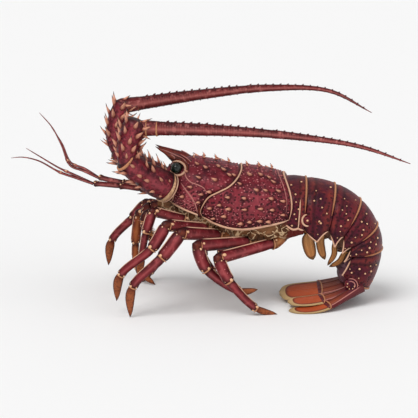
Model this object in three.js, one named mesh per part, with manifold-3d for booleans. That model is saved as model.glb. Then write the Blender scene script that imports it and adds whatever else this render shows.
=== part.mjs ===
// A life-size spiny lobster that stands on its legs with the tail curled under the body.
// Millimetres, +Z up. The head looks along -X, the animal's left side is -Y, and the floor
// that the feet and the tail fan rest on is z = 0, below the middle of the whole animal.

import * as THREE from 'three';
import { LoftGeometry } from 'three/addons/geometries/LoftGeometry.js';
import { mergeVertices } from 'three/addons/utils/BufferGeometryUtils.js';
import Module from 'manifold-3d';

const wasm = await Module();
wasm.setup();

// Driving dimensions

const GAP = 0.3;
const FLOOR = 0;
const LEFT = -1;
const RIGHT = 1;

// The front and rear margins of the carapace bend along x, the more the further from a height
const FRONT_MARGIN = { x: -38, sweep: -5, middle: 134, reach: 18 };
const REAR_MARGIN = { x: 90, sweep: -6, middle: 116, reach: 24 };
const GROOVE_TOP = 35;
const GROOVE_SLOPE = 0.92;

const EYE_RADIUS = 6.4;
const EYE_CENTRE = { x: -35.5, y: 23.5, z: 153.5 };
const ORBIT_THICKNESS = 4.4;
const ORBIT_TURN = 0.35;
const EYESTALK_WIDTH = 10;
const SOCKET_DEPTH = 10;

const SHELL_INSET = 2.5;
const LEG_THICKNESS = 0.86;
const COXA_WIDENING = 1.2;

const SPINE_COVER = 0.6;
const SPINE_VARIATION = 0.3;
const SHELL_SPINE = { length: 4.2, width: 4, sides: 4, lean: 0.9 };
const FEELER_SPINE = { length: 10, width: 4.6, sides: 5, lean: 1.3 };

const SLIVER_AREA = 0.002;
const GROW_ROUNDS = 6;
const ARCH_STEPS = 14;
const CARAPACE_STEPS = 14;
const RING_STEPS = 14;

// Lines of the carapace, each a list of [x, value]

const backHeight = [[-46, 152], [-30, 158], [-6, 162], [15, 158.5], [36, 153.5], [60, 151.5], [80, 147], [92, 142]];
const borderHeight = [[-46, 118], [-13, 105], [14, 93.5], [36, 90], [52, 91], [70, 97], [86, 101], [92, 106]];
const halfWidth = [[-46, 25], [-30, 35], [-6, 43], [20, 47], [50, 48.5], [75, 47], [92, 43.5]];
const bellyHeight = [[-58, 106], [-30, 95], [0, 83], [30, 73], [55, 68], [75, 68], [92, 74], [103, 78]];

// Where the underside runs on below the first segment of the tail
const tailFloor = [[76, 120], [84, 104], [92, 92], [103, 86]];

// Colours of the finishes

const finishes = {
  shell: { color: 0x6b2530, roughness: 0.42 },
  membrane: { color: 0x6d5236, roughness: 0.6 },
  eye: { color: 0x141c18, roughness: 0.12 },
  leg: { color: 0x742c26, roughness: 0.45 },
  claw: { color: 0x8a4a24, roughness: 0.4 },
  feeler: { color: 0x5d1c1c, roughness: 0.45 },
  fan: { color: 0x8f4323, roughness: 0.45 },
  swimmeret: { color: 0x9a6a35, roughness: 0.55 },
};

// Geometry helpers

const vector = (x, y, z) => new THREE.Vector3(x, y, z);

// Smooth value of a list of [x, value] at x
function valueAt(line, x) {
  const last = line.length - 2;
  let i = 0;
  while (i < last && x > line[i + 1][0]) i += 1;
  const slope = (k) => {
    const a = line[Math.max(k - 1, 0)];
    const b = line[Math.min(k + 1, line.length - 1)];
    return (b[1] - a[1]) / (b[0] - a[0]);
  };
  const [x0, y0] = line[i];
  const [x1, y1] = line[i + 1];
  const span = x1 - x0;
  const t = THREE.MathUtils.clamp((x - x0) / span, 0, 1);
  const rise = t * t * (3 - 2 * t);
  const leave = t * (1 - t) * (1 - t);
  const arrive = t * t * (t - 1);
  return y0 + (y1 - y0) * rise + span * (slope(i) * leave + slope(i + 1) * arrive);
}

// A closed three.js geometry as a solid that can be joined and cut
function solidOf(geometry) {
  const bare = new THREE.BufferGeometry();
  bare.setAttribute('position', geometry.attributes.position);
  bare.setIndex(geometry.index);
  const merged = mergeVertices(bare, 1e-4);
  return new wasm.Manifold(new wasm.Mesh({
    numProp: 3,
    vertProperties: new Float32Array(merged.attributes.position.array),
    triVerts: new Uint32Array(merged.index.array),
  }));
}

function geometryOf(solid) {
  const { vertProperties, triVerts } = solid.getMesh();
  const geometry = new THREE.BufferGeometry();
  geometry.setAttribute('position', new THREE.BufferAttribute(vertProperties, 3));
  geometry.setIndex(new THREE.BufferAttribute(triVerts, 1));
  return geometry;
}

function loft(sections) {
  return solidOf(new LoftGeometry(sections, { capStart: true, capEnd: true }));
}

function joined(solids) {
  return solids.reduce((whole, solid) => whole.add(solid));
}

// The largest closed surface of a solid
function largest(solid) {
  const pieces = solid.decompose();
  return pieces.reduce((best, piece) => (piece.volume() > best.volume() ? piece : best));
}

// The solid a little larger all round, for cutting its neighbour clear of it: each corner
// moves until every face round it stands out by the gap
function grown(solid, by = GAP) {
  const { vertProperties, triVerts } = solid.getMesh();
  const corner = (index) => vector().fromArray(vertProperties, index * 3);
  const faces = [];
  for (let i = 0; i < triVerts.length; i += 3) {
    const corners = [...triVerts.slice(i, i + 3)];
    const [a, b, c] = corners.map(corner);
    const normal = b.sub(a).cross(c.sub(a));
    if (normal.length() > SLIVER_AREA) faces.push({ corners, normal: normal.normalize() });
  }
  const moves = Array.from({ length: vertProperties.length / 3 }, () => vector(0, 0, 0));
  for (let round = 0; round < GROW_ROUNDS; round += 1) {
    for (const { corners, normal } of faces) {
      for (const index of corners) {
        const missing = by - moves[index].dot(normal);
        if (missing > 0) moves[index].addScaledVector(normal, missing);
      }
    }
  }
  const places = vertProperties.map((value, i) => value + moves[Math.floor(i / 3)].getComponent(i % 3));
  return new wasm.Manifold(new wasm.Mesh({ numProp: 3, vertProperties: places, triVerts }));
}

const rooms = new Map();

function roomFor(solid) {
  if (!rooms.has(solid)) rooms.set(solid, grown(solid));
  return rooms.get(solid);
}

function clearOf(solid, ...neighbours) {
  return largest(neighbours.reduce((rest, other) => rest.subtract(roomFor(other)), solid));
}

// Parts a solid at a plane, with the gap between the halves: [ahead of the plane, behind it]
function parted(solid, point, direction) {
  const normal = direction.clone().normalize();
  const place = point.dot(normal);
  return [
    solid.trimByPlane(normal.toArray(), place + GAP / 2),
    solid.trimByPlane(normal.clone().negate().toArray(), -place + GAP / 2),
  ];
}

function onFloor(solid) {
  return solid.trimByPlane([0, 0, 1], FLOOR);
}

const curveThrough = (points) => new THREE.CatmullRomCurve3(points.map((p) => vector(...p)), false, 'centripetal');

const fromSide = vector(0, 1, 0);
const fromAbove = vector(0, 0, 1);
const forward = vector(-1, 0, 0);

// Centre and directions of a limb's section at a place from 0 to 1 along its curve
function limbFrame(curve, place, facing, roll) {
  const centre = curve.getPointAt(place);
  const along = curve.getTangentAt(place);
  const across = vector().crossVectors(along, facing).normalize().applyAxisAngle(along, roll);
  const front = vector().crossVectors(along, across);
  const around = (turn, width, depth) => vector(0, 0, 0)
    .addScaledVector(across, Math.cos(turn) * width / 2)
    .addScaledVector(front, Math.sin(turn) * depth / 2);
  return { centre, along, around };
}

// A tapering limb along a smooth curve. The profile lists [place from 0 to 1, width, depth];
// the width lies across the facing direction and the depth along it.
function limb(points, profile, { sides = 8, facing = fromSide, roll = 0 } = {}) {
  const curve = curveThrough(points);
  const sections = profile.map(([place, width, depth = width]) => {
    const { centre, around } = limbFrame(curve, place, facing, roll);
    return Array.from({ length: sides }, (_, k) => around((k / sides) * Math.PI * 2, width, depth).add(centre));
  });
  return loft(sections);
}

function ball(centre, radii, detail = 12) {
  const geometry = new THREE.SphereGeometry(1, detail, Math.round(detail * 0.7));
  geometry.scale(...radii);
  geometry.translate(...centre);
  return solidOf(geometry);
}

// Spines

THREE.MathUtils.seededRandom(11);
const varied = (size) => size * (1 + SPINE_VARIATION * (THREE.MathUtils.seededRandom() - 0.5));

// A pointed spine that leaves the surface at a point and leans towards a direction; its root
// is sunk until it is covered
function spine(point, normal, towards, { length, width, sides, lean }) {
  const direction = normal.clone().addScaledVector(towards, lean).normalize();
  const rise = direction.dot(normal);
  const sink = (width / 2 * Math.sqrt(1 - rise * rise) + SPINE_COVER) / rise;
  const height = varied(length) + sink;
  const geometry = new THREE.ConeGeometry(varied(width) / 2, height, sides);
  geometry.translate(0, height / 2 - sink, 0);
  geometry.applyQuaternion(new THREE.Quaternion().setFromUnitVectors(vector(0, 1, 0), direction));
  geometry.translate(...point.toArray());
  return solidOf(geometry);
}

// Rings of spines round a limb, each leaning towards the limb's far end
function limbSpines(points, rings) {
  const curve = curveThrough(points);
  return rings.flatMap(({ place, width, count, start }) => {
    const { centre, along, around } = limbFrame(curve, place, fromSide, 0);
    return Array.from({ length: count }, (_, k) => {
      const radius = around((start + k / count) * Math.PI * 2, width, width);
      const normal = radius.clone().normalize();
      return spine(centre.clone().add(radius), normal, along, FEELER_SPINE);
    });
  });
}

// Joins spines to a body, cut clear of the neighbours
function spined(body, spines, ...neighbours) {
  const clear = neighbours.reduce((rest, other) => rest.subtract(roomFor(other)), joined(spines));
  return largest(body.add(clear));
}

const lobster = new THREE.Group();

function addPart(name, solid, finish) {
  const material = new THREE.MeshStandardMaterial({ ...finishes[finish], metalness: 0 });
  const mesh = new THREE.Mesh(geometryOf(solid), material);
  mesh.name = name;
  lobster.add(mesh);
}

const sideName = (side) => (side === LEFT ? 'left' : 'right');

// Carapace

const marginAt = ({ x, sweep, middle, reach }, z) => x + sweep * ((z - middle) / reach) ** 2;

// Sizes of the carapace at a place from 0 at the head to 1 at the rear
function carapaceAt(place) {
  const x = THREE.MathUtils.lerp(FRONT_MARGIN.x + FRONT_MARGIN.sweep, REAR_MARGIN.x, place);
  const top = valueAt(backHeight, x);
  const border = valueAt(borderHeight, x);
  const half = valueAt(halfWidth, x);
  const widest = border + 0.4 * (top - border);
  const point = (y, z) => {
    const [front, rear] = [marginAt(FRONT_MARGIN, z), marginAt(REAR_MARGIN, z)];
    return vector(THREE.MathUtils.lerp(front, rear, place), y, z);
  };
  return { top, border, half, widest, point };
}

// A point of the arched back at a turn from the middle line, -90 to 90 degrees
function backPoint(place, turn) {
  const { top, half, widest, point } = carapaceAt(place);
  return point(half * Math.sin(turn), widest + (top - widest) * Math.cos(turn));
}

// The side below the widest line, as shares of the half width and of the height above the border
const skirt = [[0.985, 0.62], [0.955, 0.3], [0.9, 0]];

function carapaceSection(place) {
  const { border, half, widest, point } = carapaceAt(place);
  const arch = Array.from({ length: ARCH_STEPS + 1 }, (_, i) => backPoint(place, (i / ARCH_STEPS - 0.5) * Math.PI));
  const edge = (side) => skirt.map(([w, h]) => point(side * half * w, border + (widest - border) * h));
  return [...edge(LEFT).reverse(), ...arch, ...edge(RIGHT)].reverse();
}

// Spines in staggered rows over the back, leaning forward
function shellSpines(firstPlace, lastPlace, rows, turns) {
  const step = (lastPlace - firstPlace) / (rows - 1);
  return Array.from({ length: rows }, (_, row) => turns.flatMap((turn) => {
    const place = firstPlace + step * row;
    const stagger = (row % 2) * 0.5 * (turns[1] - turns[0]);
    return [LEFT, RIGHT].map((side) => {
      const angle = side * (turn + stagger);
      const point = backPoint(place, angle);
      const ahead = backPoint(place - 0.01, angle).sub(point);
      const across = backPoint(place, angle + 0.01).sub(point);
      const normal = across.cross(ahead).normalize();
      return spine(point, normal, forward, SHELL_SPINE);
    });
  })).flat();
}

const carapace = loft(Array.from({ length: CARAPACE_STEPS + 1 }, (_, i) => carapaceSection(i / CARAPACE_STEPS)));

// The neck groove is a plane that leans forward from the middle of the back to the cheek
const groovePoint = vector(GROOVE_TOP, 0, valueAt(backHeight, GROOVE_TOP));
const grooveNormal = vector(1, 0, -GROOVE_SLOPE);
const [thoraxShell, headShell] = parted(carapace, groovePoint, grooveNormal);

function horn(side) {
  const line = [[-13, 14, 153], [-26, 13.5, 157.5], [-36, 12.5, 161], [-44, 11.5, 165.3], [-51, 10.5, 169.6], [-58, 9, 173]];
  return limb(
    line.map(([x, y, z]) => [x, side * y, z]),
    [[0, 9], [0.22, 13], [0.45, 13], [0.6, 9.5], [0.72, 5.4], [0.86, 3.2], [1, 0.8]],
  );
}

const eyeCentre = (side) => vector(EYE_CENTRE.x, side * EYE_CENTRE.y, EYE_CENTRE.z);

// The raised ring of shell round each eye
function orbitRing(side) {
  const geometry = new THREE.TorusGeometry(EYE_RADIUS + 1.6, ORBIT_THICKNESS / 2, 5, 11);
  geometry.rotateX(Math.PI / 2);
  geometry.rotateZ(side * ORBIT_TURN);
  geometry.translate(EYE_CENTRE.x + 1.5, side * (EYE_CENTRE.y - 4.5), EYE_CENTRE.z);
  return solidOf(geometry);
}

function eyestalk(side) {
  return limb(
    [[-24, side * 10, 150], [EYE_CENTRE.x, side * (EYE_CENTRE.y - 3), EYE_CENTRE.z]],
    [[0, EYESTALK_WIDTH], [1, 0.9 * EYESTALK_WIDTH]],
  );
}

// Underside of the thorax, with the roots of the legs

function undersideSection(x) {
  const top = Math.min(valueAt(borderHeight, x), valueAt(tailFloor, x), 117) - GAP;
  const bottom = valueAt(bellyHeight, x);
  const half = 0.9 * valueAt(halfWidth, Math.max(x, -44)) - SHELL_INSET;
  const depth = top - bottom;
  const side = [[half, top], [half - 1.5, top - 0.3 * depth], [half * 0.7, bottom + 0.25 * depth], [half * 0.35, bottom]];
  const outline = [...side, ...side.map(([y, z]) => [-y, z]).reverse()];
  return outline.map(([y, z]) => vector(x, y, z)).reverse();
}

const undersideStations = [-56, -46, -34, -20, -5, 10, 25, 40, 55, 70, 82, 92, 103];
const undersideBody = loft(undersideStations.map(undersideSection));

// Legs

// Each leg from its root to the tip of its claw, with the two thicknesses of its long joint
const legs = [
  {
    name: 'leg_left_1', side: LEFT, width: 9.5,
    points: [[-20, -20, 95], [-27, -29, 98], [-61, -50, 111], [-68, -55, 88], [-73, -52, 60], [-77, -46, 36]],
  },
  {
    name: 'leg_left_2', side: LEFT, width: 11.5,
    points: [[8, -18, 85], [-2, -30, 88], [-46, -70, 100], [-62, -75, 75], [-95, -72, 45.5], [-100, -62, 14.5]],
  },
  {
    name: 'leg_left_3', side: LEFT, width: 12.5,
    points: [[22, -18, 80], [11, -31, 81], [-30, -73, 92], [-51, -79, 66], [-82, -80, 34], [-85, -77, 0]],
  },
  {
    name: 'leg_left_4', side: LEFT, width: 12,
    points: [[56, -18, 75], [44, -30, 73], [-13, -72, 78], [-2, -68, 50.5], [34, -62, 25.5], [53, -57, 26]],
  },
  {
    name: 'leg_left_5', side: LEFT, width: 11.5,
    points: [[82, -16, 75], [71, -29, 71.5], [9.5, -72, 64], [22.5, -73, 38.5], [51, -69, 8], [74, -64, 0]],
  },
  {
    name: 'leg_right_1', side: RIGHT, width: 9.5,
    points: [[-20, 20, 95], [-27, 29, 97], [-79, 54, 87], [-83, 62, 50], [-81, 71, 19], [-61, 69, 0]],
  },
  {
    name: 'leg_right_2', side: RIGHT, width: 11.5,
    points: [[8, 18, 85], [-2, 30, 88], [-71, 74, 94], [-87, 81, 75], [-111, 87, 47.5], [-115, 86, 19]],
  },
  {
    name: 'leg_right_3', side: RIGHT, width: 12.5,
    points: [[22, 18, 80], [11, 31, 79], [-31, 75, 60], [-51, 84, 33], [-69, 88, 10], [-81, 82, 0]],
  },
  {
    name: 'leg_right_4', side: RIGHT, width: 12,
    points: [[56, 18, 75], [44, 30, 73], [-8, 72, 50], [-7, 87, 29], [5, 89, 10], [16, 81, 0]],
  },
  {
    name: 'leg_right_5', side: RIGHT, width: 11.5,
    points: [[82, 16, 75], [71, 29, 71.5], [19, 67, 56], [14, 85, 37], [18, 88, 12], [27, 81, 0]],
  },
];

// Ends a path a little past its last point, so that joints overlap before they are cut
function stretched(points, start, end) {
  const a = vector(...points[0]);
  const b = vector(...points[1]);
  const y = vector(...points[points.length - 2]);
  const z = vector(...points[points.length - 1]);
  const first = a.clone().addScaledVector(a.clone().sub(b).normalize(), start);
  const last = z.clone().addScaledVector(z.clone().sub(y).normalize(), end);
  return [first.toArray(), ...points.slice(1, -1), last.toArray()];
}

function buildLeg({ points, width }) {
  const [root, coxa, knee, wrist, ankle, tip] = points;
  const depth = width * LEG_THICKNESS;
  const hip = limb([root, coxa], [[0, 1], [1, COXA_WIDENING]].map(([t, k]) => [t, width * k, depth * k]));
  const thigh = limb(
    stretched([coxa, knee], width * 0.3, width * 0.5),
    [[0, 0.75], [0.12, 1], [0.5, 1.05], [0.8, 1.12], [0.92, 1.12], [1, 0.8]].map(([t, k]) => [t, width * k, depth * k]),
  );
  const shinLength = vector(...knee).distanceTo(vector(...wrist));
  const footLength = vector(...wrist).distanceTo(vector(...ankle));
  const clawLength = vector(...ankle).distanceTo(vector(...tip));
  const whole = shinLength + footLength + clawLength;
  const wristPlace = shinLength / whole;
  const anklePlace = (shinLength + footLength) / whole;
  const between = THREE.MathUtils.lerp;
  const lower = limb(
    stretched([knee, wrist, ankle, tip], width * 0.5, 0),
    [
      [0, 0.8], [0.07, 1.05],
      [wristPlace * 0.5, 1.08], [wristPlace * 0.92, 1], [wristPlace * 1.1, 0.82],
      [between(wristPlace, anklePlace, 0.5), 0.8], [anklePlace * 0.98, 0.76], [anklePlace * 1.03, 0.7],
      [between(anklePlace, 1, 0.25), 1, 0.72], [between(anklePlace, 1, 0.6), 0.88, 0.56],
      [between(anklePlace, 1, 0.86), 0.56, 0.34], [1, 0.14],
    ].map(([t, k, thin = k]) => [t, width * k, depth * thin]),
  );
  const inward = vector(...coxa).sub(vector(...knee)).normalize();
  const outward = vector(...wrist).sub(vector(...knee)).normalize();
  const kneeNormal = outward.sub(inward);
  const [lowerLeg] = parted(lower, vector(...knee), kneeNormal);
  const [, rest] = parted(thigh, vector(...knee), kneeNormal);
  const [upperLeg] = parted(rest, vector(...coxa), inward.clone().negate());
  return { hip, upper: largest(upperLeg), lower: largest(onFloor(lowerLeg)) };
}

const builtLegs = legs.map((leg) => ({ ...leg, ...buildLeg(leg) }));

const hips = builtLegs.map(({ points, hip }) => {
  const [, coxa, knee] = points.map((p) => vector(...p));
  const [, kept] = parted(hip, coxa, knee.sub(coxa));
  return kept;
});
const underside = joined([undersideBody, ...hips]);

// Head, with the horns, the rings round the eyes and the face between the feelers

const face = ball([-45, 0, 133], [13, 13, 16], 10);

// Eyes

const eyes = [LEFT, RIGHT].map((side) => ball(eyeCentre(side).toArray(), [EYE_RADIUS, EYE_RADIUS, EYE_RADIUS], 12));

// Antennae: a base, a middle and an end joint, then a long whip in two lengths. The rings
// of spines list their place along the joint, its width there, their number and first turn.

const antennae = {
  [LEFT]: {
    base: [[-39, -23, 129], [-55, -33, 139], [-74, -41, 153]],
    middle: [[-68, -40, 147], [-80, -44, 158], [-92, -49, 169]],
    end: [[-88, -47, 160], [-87, -48, 178], [-84, -49, 193], [-76, -50, 211]],
    endWidths: [[0, 17], [0.2, 23], [0.5, 25], [0.85, 25], [1, 20]],
    whip: [[-82, -49, 202], [-63, -50, 202], [14, -59, 201], [90, -71, 197], [160, -83, 188], [212.5, -93, 171.5]],
  },
  [RIGHT]: {
    base: [[-39, 23, 126], [-57, 31, 131], [-80, 35, 145]],
    middle: [[-73, 34, 140], [-88, 37, 151], [-103, 39, 164]],
    end: [[-98, 39, 156], [-104, 40, 176], [-102, 41, 195], [-94, 42, 216]],
    endWidths: [[0, 16], [0.2, 20], [0.5, 21], [0.85, 20], [1, 16]],
    whip: [[-105, 41, 210], [-84, 43, 212.5], [-10, 51, 222], [68, 61, 228], [135, 70, 223], [183, 79, 197]],
  },
};

const baseRings = [
  { place: 0.4, width: 31, count: 4, start: 0.14 },
  { place: 0.7, width: 30, count: 6, start: 0 },
];
const middleRings = [
  { place: 0.3, width: 28, count: 6, start: 0.08 },
  { place: 0.68, width: 26, count: 6, start: 0 },
];
const endRings = (widths) => [
  { place: 0.2, width: widths[1][1], count: 6, start: 0.08 },
  { place: 0.38, width: widths[2][1] - 1, count: 6, start: 0 },
  { place: 0.56, width: widths[2][1], count: 6, start: 0.08 },
  { place: 0.74, width: widths[3][1], count: 6, start: 0 },
  { place: 0.9, width: widths[4][1] + 2, count: 5, start: 0.08 },
];

function buildAntenna({ base, middle, end, endWidths, whip }) {
  const baseJoint = limb(base, [[0, 12], [0.12, 20], [0.26, 30], [0.5, 33], [0.8, 30], [1, 25]], { sides: 12 });
  const middleJoint = limb(middle, [[0, 23], [0.3, 28], [0.7, 26.5], [1, 20]], { sides: 12 });
  const endJoint = limb(end, endWidths, { sides: 12 });
  const whipJoint = limb(
    whip,
    [
      [0, 12], [0.03, 17], [0.085, 16.5], [0.09, 15], [0.28, 12.8], [0.46, 10], [0.6, 7.6],
      [0.75, 5.4], [0.88, 3.8], [1, 1],
    ],
  );
  const pointOf = (list, index) => vector(...list[index]);
  const firstCut = pointOf(base, 2).lerp(pointOf(middle, 0), 0.5);
  const firstNormal = pointOf(middle, 2).sub(pointOf(base, 0));
  const secondCut = pointOf(middle, 2).lerp(pointOf(end, 0), 0.5);
  const secondNormal = pointOf(end, 2).sub(pointOf(middle, 0));
  const [afterBase, basePart] = parted(baseJoint.add(middleJoint), firstCut, firstNormal);
  const [endPart, middlePart] = parted(largest(afterBase).add(endJoint), secondCut, secondNormal);
  const whipHalf = pointOf(whip, 3);
  const whipDirection = pointOf(whip, 4).sub(pointOf(whip, 2));
  const outsideEnd = whipJoint.subtract(roomFor(endPart));
  const [outer, inner] = parted(largest(outsideEnd), whipHalf, whipDirection);
  return { base: largest(basePart), middle: largest(middlePart), end: largest(endPart), inner, outer };
}

const plainAntennae = { [LEFT]: buildAntenna(antennae[LEFT]), [RIGHT]: buildAntenna(antennae[RIGHT]) };

// The cup of shell that holds the round base of an antenna
function socket(side) {
  const [root, bulb] = antennae[side].base.map((p) => vector(...p));
  const inward = root.clone().sub(bulb).normalize();
  const lip = bulb.clone().lerp(root, 0.38);
  const cup = [lip.clone().addScaledVector(inward, SOCKET_DEPTH), lip].map((p) => p.toArray());
  return limb(cup, [[0, 22], [0.4, 30], [0.75, 34], [1, 34.5]], { sides: 12 });
}

const headParts = [LEFT, RIGHT].flatMap((side) => [horn(side), orbitRing(side), eyestalk(side), socket(side)]);
const plainHead = clearOf(
  joined([headShell, face, ...headParts]),
  underside, ...eyes, plainAntennae[LEFT].base, plainAntennae[RIGHT].base,
);
const plainThorax = clearOf(thoraxShell, underside);

const head = spined(plainHead, shellSpines(0.2, 0.52, 5, [0.14, 0.5, 0.86]), ...eyes, plainThorax, underside);
const thorax = spined(plainThorax, shellSpines(0.52, 0.94, 6, [0.14, 0.42, 0.7, 0.98, 1.26]), plainHead, underside);
addPart('carapace_head', head, 'shell');
addPart('carapace_thorax', thorax, 'shell');
addPart('thorax_underside', underside, 'membrane');
addPart('eye_left', eyes[0], 'eye');
addPart('eye_right', eyes[1], 'eye');

for (const side of [LEFT, RIGHT]) {
  const plain = plainAntennae[side];
  const { base, middle, end, endWidths } = antennae[side];
  const name = `antenna_${sideName(side)}`;
  const baseBody = clearOf(plain.base, underside);
  const middleSpines = limbSpines(middle, middleRings);
  const endSpines = limbSpines(end, endRings(endWidths));
  addPart(`${name}_base`, spined(baseBody, limbSpines(base, baseRings), plainHead, plain.middle, ...middleSpines), 'shell');
  addPart(`${name}_middle`, spined(plain.middle, middleSpines, baseBody, plain.end, ...endSpines), 'shell');
  addPart(`${name}_end`, spined(plain.end, endSpines, plain.middle, plain.inner), 'shell');
  addPart(`${name}_whip_inner`, plain.inner, 'feeler');
  addPart(`${name}_whip_outer`, plain.outer, 'feeler');
}

// Antennules: a jointed stalk with two fine whips

const antennules = {
  [LEFT]: {
    stalk: [[-50, -8, 130], [-70, -10, 128], [-90, -13, 131], [-110, -16, 133.5], [-127, -18, 135.5]],
    whip: [[-126, -18, 135], [-145, -20, 142], [-162, -22, 148.5], [-185, -26, 162], [-202, -29, 166.5], [-214, -31, 166]],
    second: [[-126, -18, 135], [-146, -11, 143], [-163, -7, 150], [-186, -3, 163], [-200, 0, 171]],
  },
  [RIGHT]: {
    stalk: [[-50, 8, 130], [-70, 10, 127], [-90, 12, 129.5], [-110, 14, 133], [-123, 16, 136]],
    whip: [[-122, 16, 135], [-139, 18, 142.5], [-153, 20, 148], [-163, 22, 171], [-173, 24, 190], [-187, 26, 206]],
    second: [[-122, 16, 135], [-138, 27, 143], [-153, 31, 149], [-163, 35, 170], [-175, 38, 188]],
  },
};

for (const side of [LEFT, RIGHT]) {
  const { stalk, whip, second } = antennules[side];
  const stalkJoint = limb(
    stalk,
    [[0, 7], [0.3, 8], [0.5, 8.4], [0.53, 7.2], [0.9, 6.2], [0.96, 6.8], [1, 4]],
    { sides: 8 },
  );
  const whipShape = [[0, 3.6], [0.36, 3.2], [0.4, 3.8], [0.44, 2.8], [0.7, 2], [0.9, 1.2], [1, 0.6]];
  const whole = joined([stalkJoint, limb(whip, whipShape, { sides: 6 }), limb(second, whipShape, { sides: 6 })]);
  addPart(`antennule_${sideName(side)}`, clearOf(whole, head, underside), 'feeler');
}

// Third maxillipeds, the jointed mouth limbs that hang below the face

for (const side of [LEFT, RIGHT]) {
  const y = (value) => side * value;
  const whole = limb(
    [[-48, y(12), 104], [-60, y(17), 104], [-70, y(20), 99], [-70, y(18), 84], [-63, y(11), 69]],
    [[0, 7], [0.3, 9.5], [0.45, 9.5], [0.52, 8], [0.75, 7], [0.92, 4], [1, 1.4]],
  );
  addPart(`maxilliped_${sideName(side)}`, clearOf(whole, underside), 'claw');
}

for (const leg of builtLegs) {
  addPart(`${leg.name}_upper`, clearOf(leg.upper, underside, head, thorax), 'leg');
  addPart(`${leg.name}_lower`, leg.lower, 'leg');
}

// Abdomen: six ring-like segments that curl down and under, between seven frames

// Share of a ring's height that its arch takes, its bulge between the frames, and the size
// of a ring's front edge where it slips under the one before
const RING_ARCH = 0.62;
const RING_BULGE = 0.012;
const STEP_SCALE = 0.955;

const frames = [
  { x: 80, z: 141.5, lean: 2, half: 42, floor: 43 },
  { x: 107.5, z: 138.5, lean: 5, half: 41.5, floor: 50 },
  { x: 139.5, z: 131, lean: 12, half: 40.5, floor: 45 },
  { x: 167.5, z: 113.5, lean: 32, half: 39, floor: 39 },
  { x: 186, z: 86.5, lean: 58, half: 37, floor: 36 },
  { x: 191, z: 59, lean: 85, half: 35, floor: 35 },
  { x: 176, z: 14, lean: 124, half: 31, floor: 34 },
];

// The line of the back runs on past the last frame, towards the fan
const fanGuide = vector(146, 0, -14);
const frameCurve = new THREE.CatmullRomCurve3([...frames.map((f) => vector(f.x, 0, f.z)), fanGuide], false, 'centripetal');

function frameAt(place) {
  const at = (key) => valueAt(frames.map((f, i) => [i, f[key]]), place);
  const centre = frameCurve.getPoint(place / frames.length);
  const lean = THREE.MathUtils.degToRad(at('lean'));
  return {
    centre,
    up: vector(Math.sin(lean), 0, Math.cos(lean)),
    half: at('half'),
    floor: at('floor'),
  };
}

// One section of a segment: the arch, the side plates that hang to the given depth, the floor
function ringSection({ centre, up, half, floor }, scale, hang) {
  const arch = floor * RING_ARCH;
  const outline = Array.from({ length: RING_STEPS + 1 }, (_, i) => {
    const turn = (i / RING_STEPS - 0.5) * Math.PI;
    return [half * Math.sin(turn), -arch * (1 - Math.cos(turn))];
  });
  const right = [[half * 0.985, -(arch + hang) / 2], [half * 0.93, -hang], [half * 0.87, -hang], [half * 0.8, -floor]];
  const left = right.map(([y, h]) => [-y, h]).reverse();
  return [...left, ...outline, ...right].map(([y, h]) => {
    const point = vector(0, y, 0).addScaledVector(up, h + floor * 0.5);
    return point.multiplyScalar(scale).addScaledVector(up, -floor * 0.5).add(centre);
  }).reverse();
}

// Reach of the side plates past the floor, and where along the segment their tips lie
const plateReach = [3, 14, 14.5, 13, 12, 9];
const plateTip = [0.5, 0.45, 0.62, 0.7, 0.7, 0.62];

function buildSegment(index) {
  const tip = plateTip[index];
  const places = [0, tip * 0.5, tip, (tip + 1) / 2, 1];
  const sections = places.map((t) => {
    const frame = frameAt(index + t);
    const near = t <= tip ? t / tip : (1 - t) / (1 - tip);
    const hang = frame.floor + 1 + plateReach[index] * near;
    const scale = index > 0 && t === 0 ? STEP_SCALE : 1 + RING_BULGE * Math.sin(Math.PI * t);
    return ringSection(frame, scale, hang);
  });
  return loft(sections);
}

const segmentSolids = frames.slice(0, -1).map((_, index) => {
  const whole = buildSegment(index);
  const rear = frameAt(index + 1);
  const normal = vector().crossVectors(vector(0, 1, 0), rear.up);
  return whole.trimByPlane(normal.clone().negate().toArray(), -rear.centre.dot(normal) + GAP);
});
segmentSolids[0] = clearOf(segmentSolids[0], thorax, underside);
segmentSolids.forEach((solid, index) => {
  addPart(`abdomen_${index + 1}`, largest(solid), 'shell');
});

// Swimmerets: a pair of leaves under each of the segments two to five

const swimmerets = [
  { segment: 2, y: 23, points: [[112, 92], [108, 78], [110, 64], [114, 51]], width: 14 },
  { segment: 3, y: 22, points: [[131, 90], [122, 74], [123, 62], [127, 51]], width: 9.5 },
  { segment: 4, y: 20, points: [[150, 84], [138, 68], [137, 56], [130, 44]], width: 6.5 },
  { segment: 5, y: 18, points: [[160, 66], [149, 58], [143, 48], [132, 42]], width: 6.5 },
];

// The right ones are folded closer to the body
const FOLDED_REACH = 0.62;

for (const { segment, y, points, width } of swimmerets) {
  for (const side of [LEFT, RIGHT]) {
    const reach = side === RIGHT ? FOLDED_REACH : 1;
    const [rootX, rootZ] = points[0];
    const leaf = limb(
      points.map(([x, z]) => [rootX + (x - rootX) * reach, side * y, rootZ + (z - rootZ) * reach]),
      [[0, 4, 3], [0.25, 5, 3], [0.4, width * 0.9, 2.6], [0.65, width, 2.2], [0.85, width * 0.8, 1.6], [1, 1.6, 1]],
      { sides: 6 },
    );
    addPart(`swimmeret_${sideName(side)}_${segment}`, clearOf(leaf, ...segmentSolids.slice(1, 5)), 'swimmeret');
  }
}

// Tail fan: the telson in the middle and two side blades on each side, flat on the floor

// A flat blade; its profile is as a limb's, its roll in degrees
function blade(points, profile, roll) {
  return onFloor(limb(points, profile, { sides: 10, facing: fromAbove, roll: THREE.MathUtils.degToRad(roll) }));
}

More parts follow.
